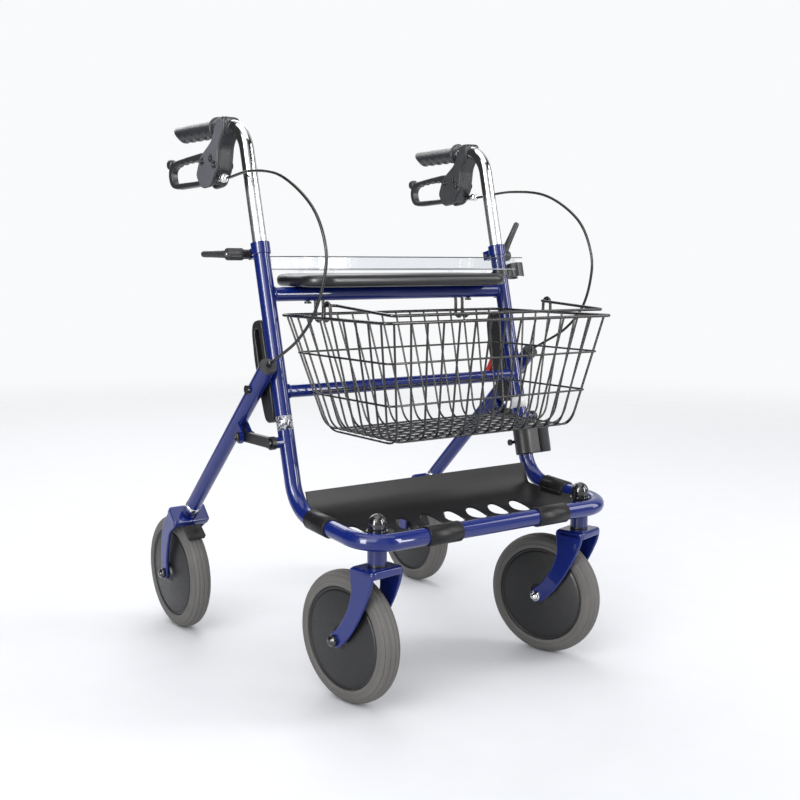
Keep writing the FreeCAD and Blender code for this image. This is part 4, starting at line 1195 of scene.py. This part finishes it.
def softbox(name, location, size, power, shine_only=False):
    """A large soft lamp that looks at the walker; one that is for shine only lights no matt surface."""
    target = Vector((0, 0, 0.45))
    lamp = bpy.data.lights.new(name, "AREA")
    lamp.shape = "RECTANGLE"
    lamp.size, lamp.size_y = size
    lamp.energy = power
    obj = added(name, lamp)
    obj.location = location
    obj.rotation_euler = (target - Vector(location)).to_track_quat("-Z", "Y").to_euler()
    obj.visible_diffuse = not shine_only


def studio():
    """A pale floor that runs into a pale background, and soft light from above and both sides."""
    world = bpy.data.worlds.new("studio")
    bpy.context.scene.world = world
    world.use_nodes = True
    tree = world.node_tree
    sky = tree.nodes["Background"]
    sky.inputs["Color"].default_value = (0.95, 0.955, 0.965, 1.0)
    nodes = Nodes(tree)
    around = nodes.node("ShaderNodeTexCoord").outputs["Generated"]
    direction = nodes.node("ShaderNodeSeparateXYZ", Vector=around)
    corners = nodes.product(direction.outputs["X"], direction.outputs["Y"])
    rays = nodes.node("ShaderNodeLightPath")
    strength = 1.0
    mirrored = nodes.ranged(corners, 0.05, 0.75, -0.07, 0.07)
    for kind, content in (("Is Diffuse Ray", 0.62), ("Is Glossy Ray", mirrored), ("Is Camera Ray", 1.0)):
        choice = nodes.node("ShaderNodeMix")
        for socket, fed in ((0, rays.outputs[kind]), (2, strength), (3, content)):
            nodes.feed(choice.inputs[socket], fed)
        strength = choice.outputs[0]
    nodes.feed(sky.inputs["Strength"], strength)
    floor_finish = finish_of("pale_floor", (0.70, 0.71, 0.735), 0.6, mottle=0.01, grain=40.0, depth=0.01,
                             specular=0.2)
    distance = floor_finish.node("ShaderNodeVectorMath", Vector=floor_finish.place)
    distance.operation = "LENGTH"
    fade = floor_finish.ranged(distance.outputs["Value"], 0.0, 1.0, 1.3, 4.5)
    see_through = floor_finish.node("ShaderNodeBsdfTransparent").outputs[0]
    floor_finish.cover(floor_finish.blended(fade, floor_finish.shader.outputs[0], see_through))
    mesh = bpy.data.meshes.new("floor")
    reach = 14.0
    mesh.from_pydata([(-reach, -reach, 0), (reach, -reach, 0), (reach, reach, 0), (-reach, reach, 0)], [],
                     [(0, 1, 2, 3)])
    mesh.materials.append(floor_finish.material)
    floor = added("floor", mesh)
    softbox("key", (-2.6, -1.6, 2.6), (2.8, 2.8), 72)
    softbox("left_strip", (-2.9, -1.2, 1.1), (0.8, 2.4), 95, shine_only=True)
    softbox("right_strip", (1.3, -2.8, 1.3), (0.6, 2.4), 75, shine_only=True)
    softbox("fill", (2.8, -1.8, 1.8), (1.2, 2.4), 48)
    softbox("back", (0.6, 2.8, 2.4), (3.0, 1.6), 46)
    softbox("top", (0, -0.1, 3.2), (2.6, 2.6), 38)


def camera():
    """The view from the front right of the walker, a little above the basket."""
    lens = bpy.data.cameras.new("camera")
    lens.sensor_width = 36.0
    lens.lens = 50.27
    lens.shift_y = 0.0738
    obj = added("camera", lens)
    yaw, pitch, roll = math.radians(-35.82), math.radians(90 - 10.13), math.radians(0.21)
    turn = Matrix.Rotation(yaw, 4, "Z") @ Matrix.Rotation(pitch, 4, "X") @ Matrix.Rotation(roll, 4, "Z")
    obj.matrix_world = Matrix.Translation((-1.0664, -1.5214, 0.6453)) @ turn
    bpy.context.scene.camera = obj
    bpy.context.scene.view_settings.view_transform = "Standard"


studio()
camera()
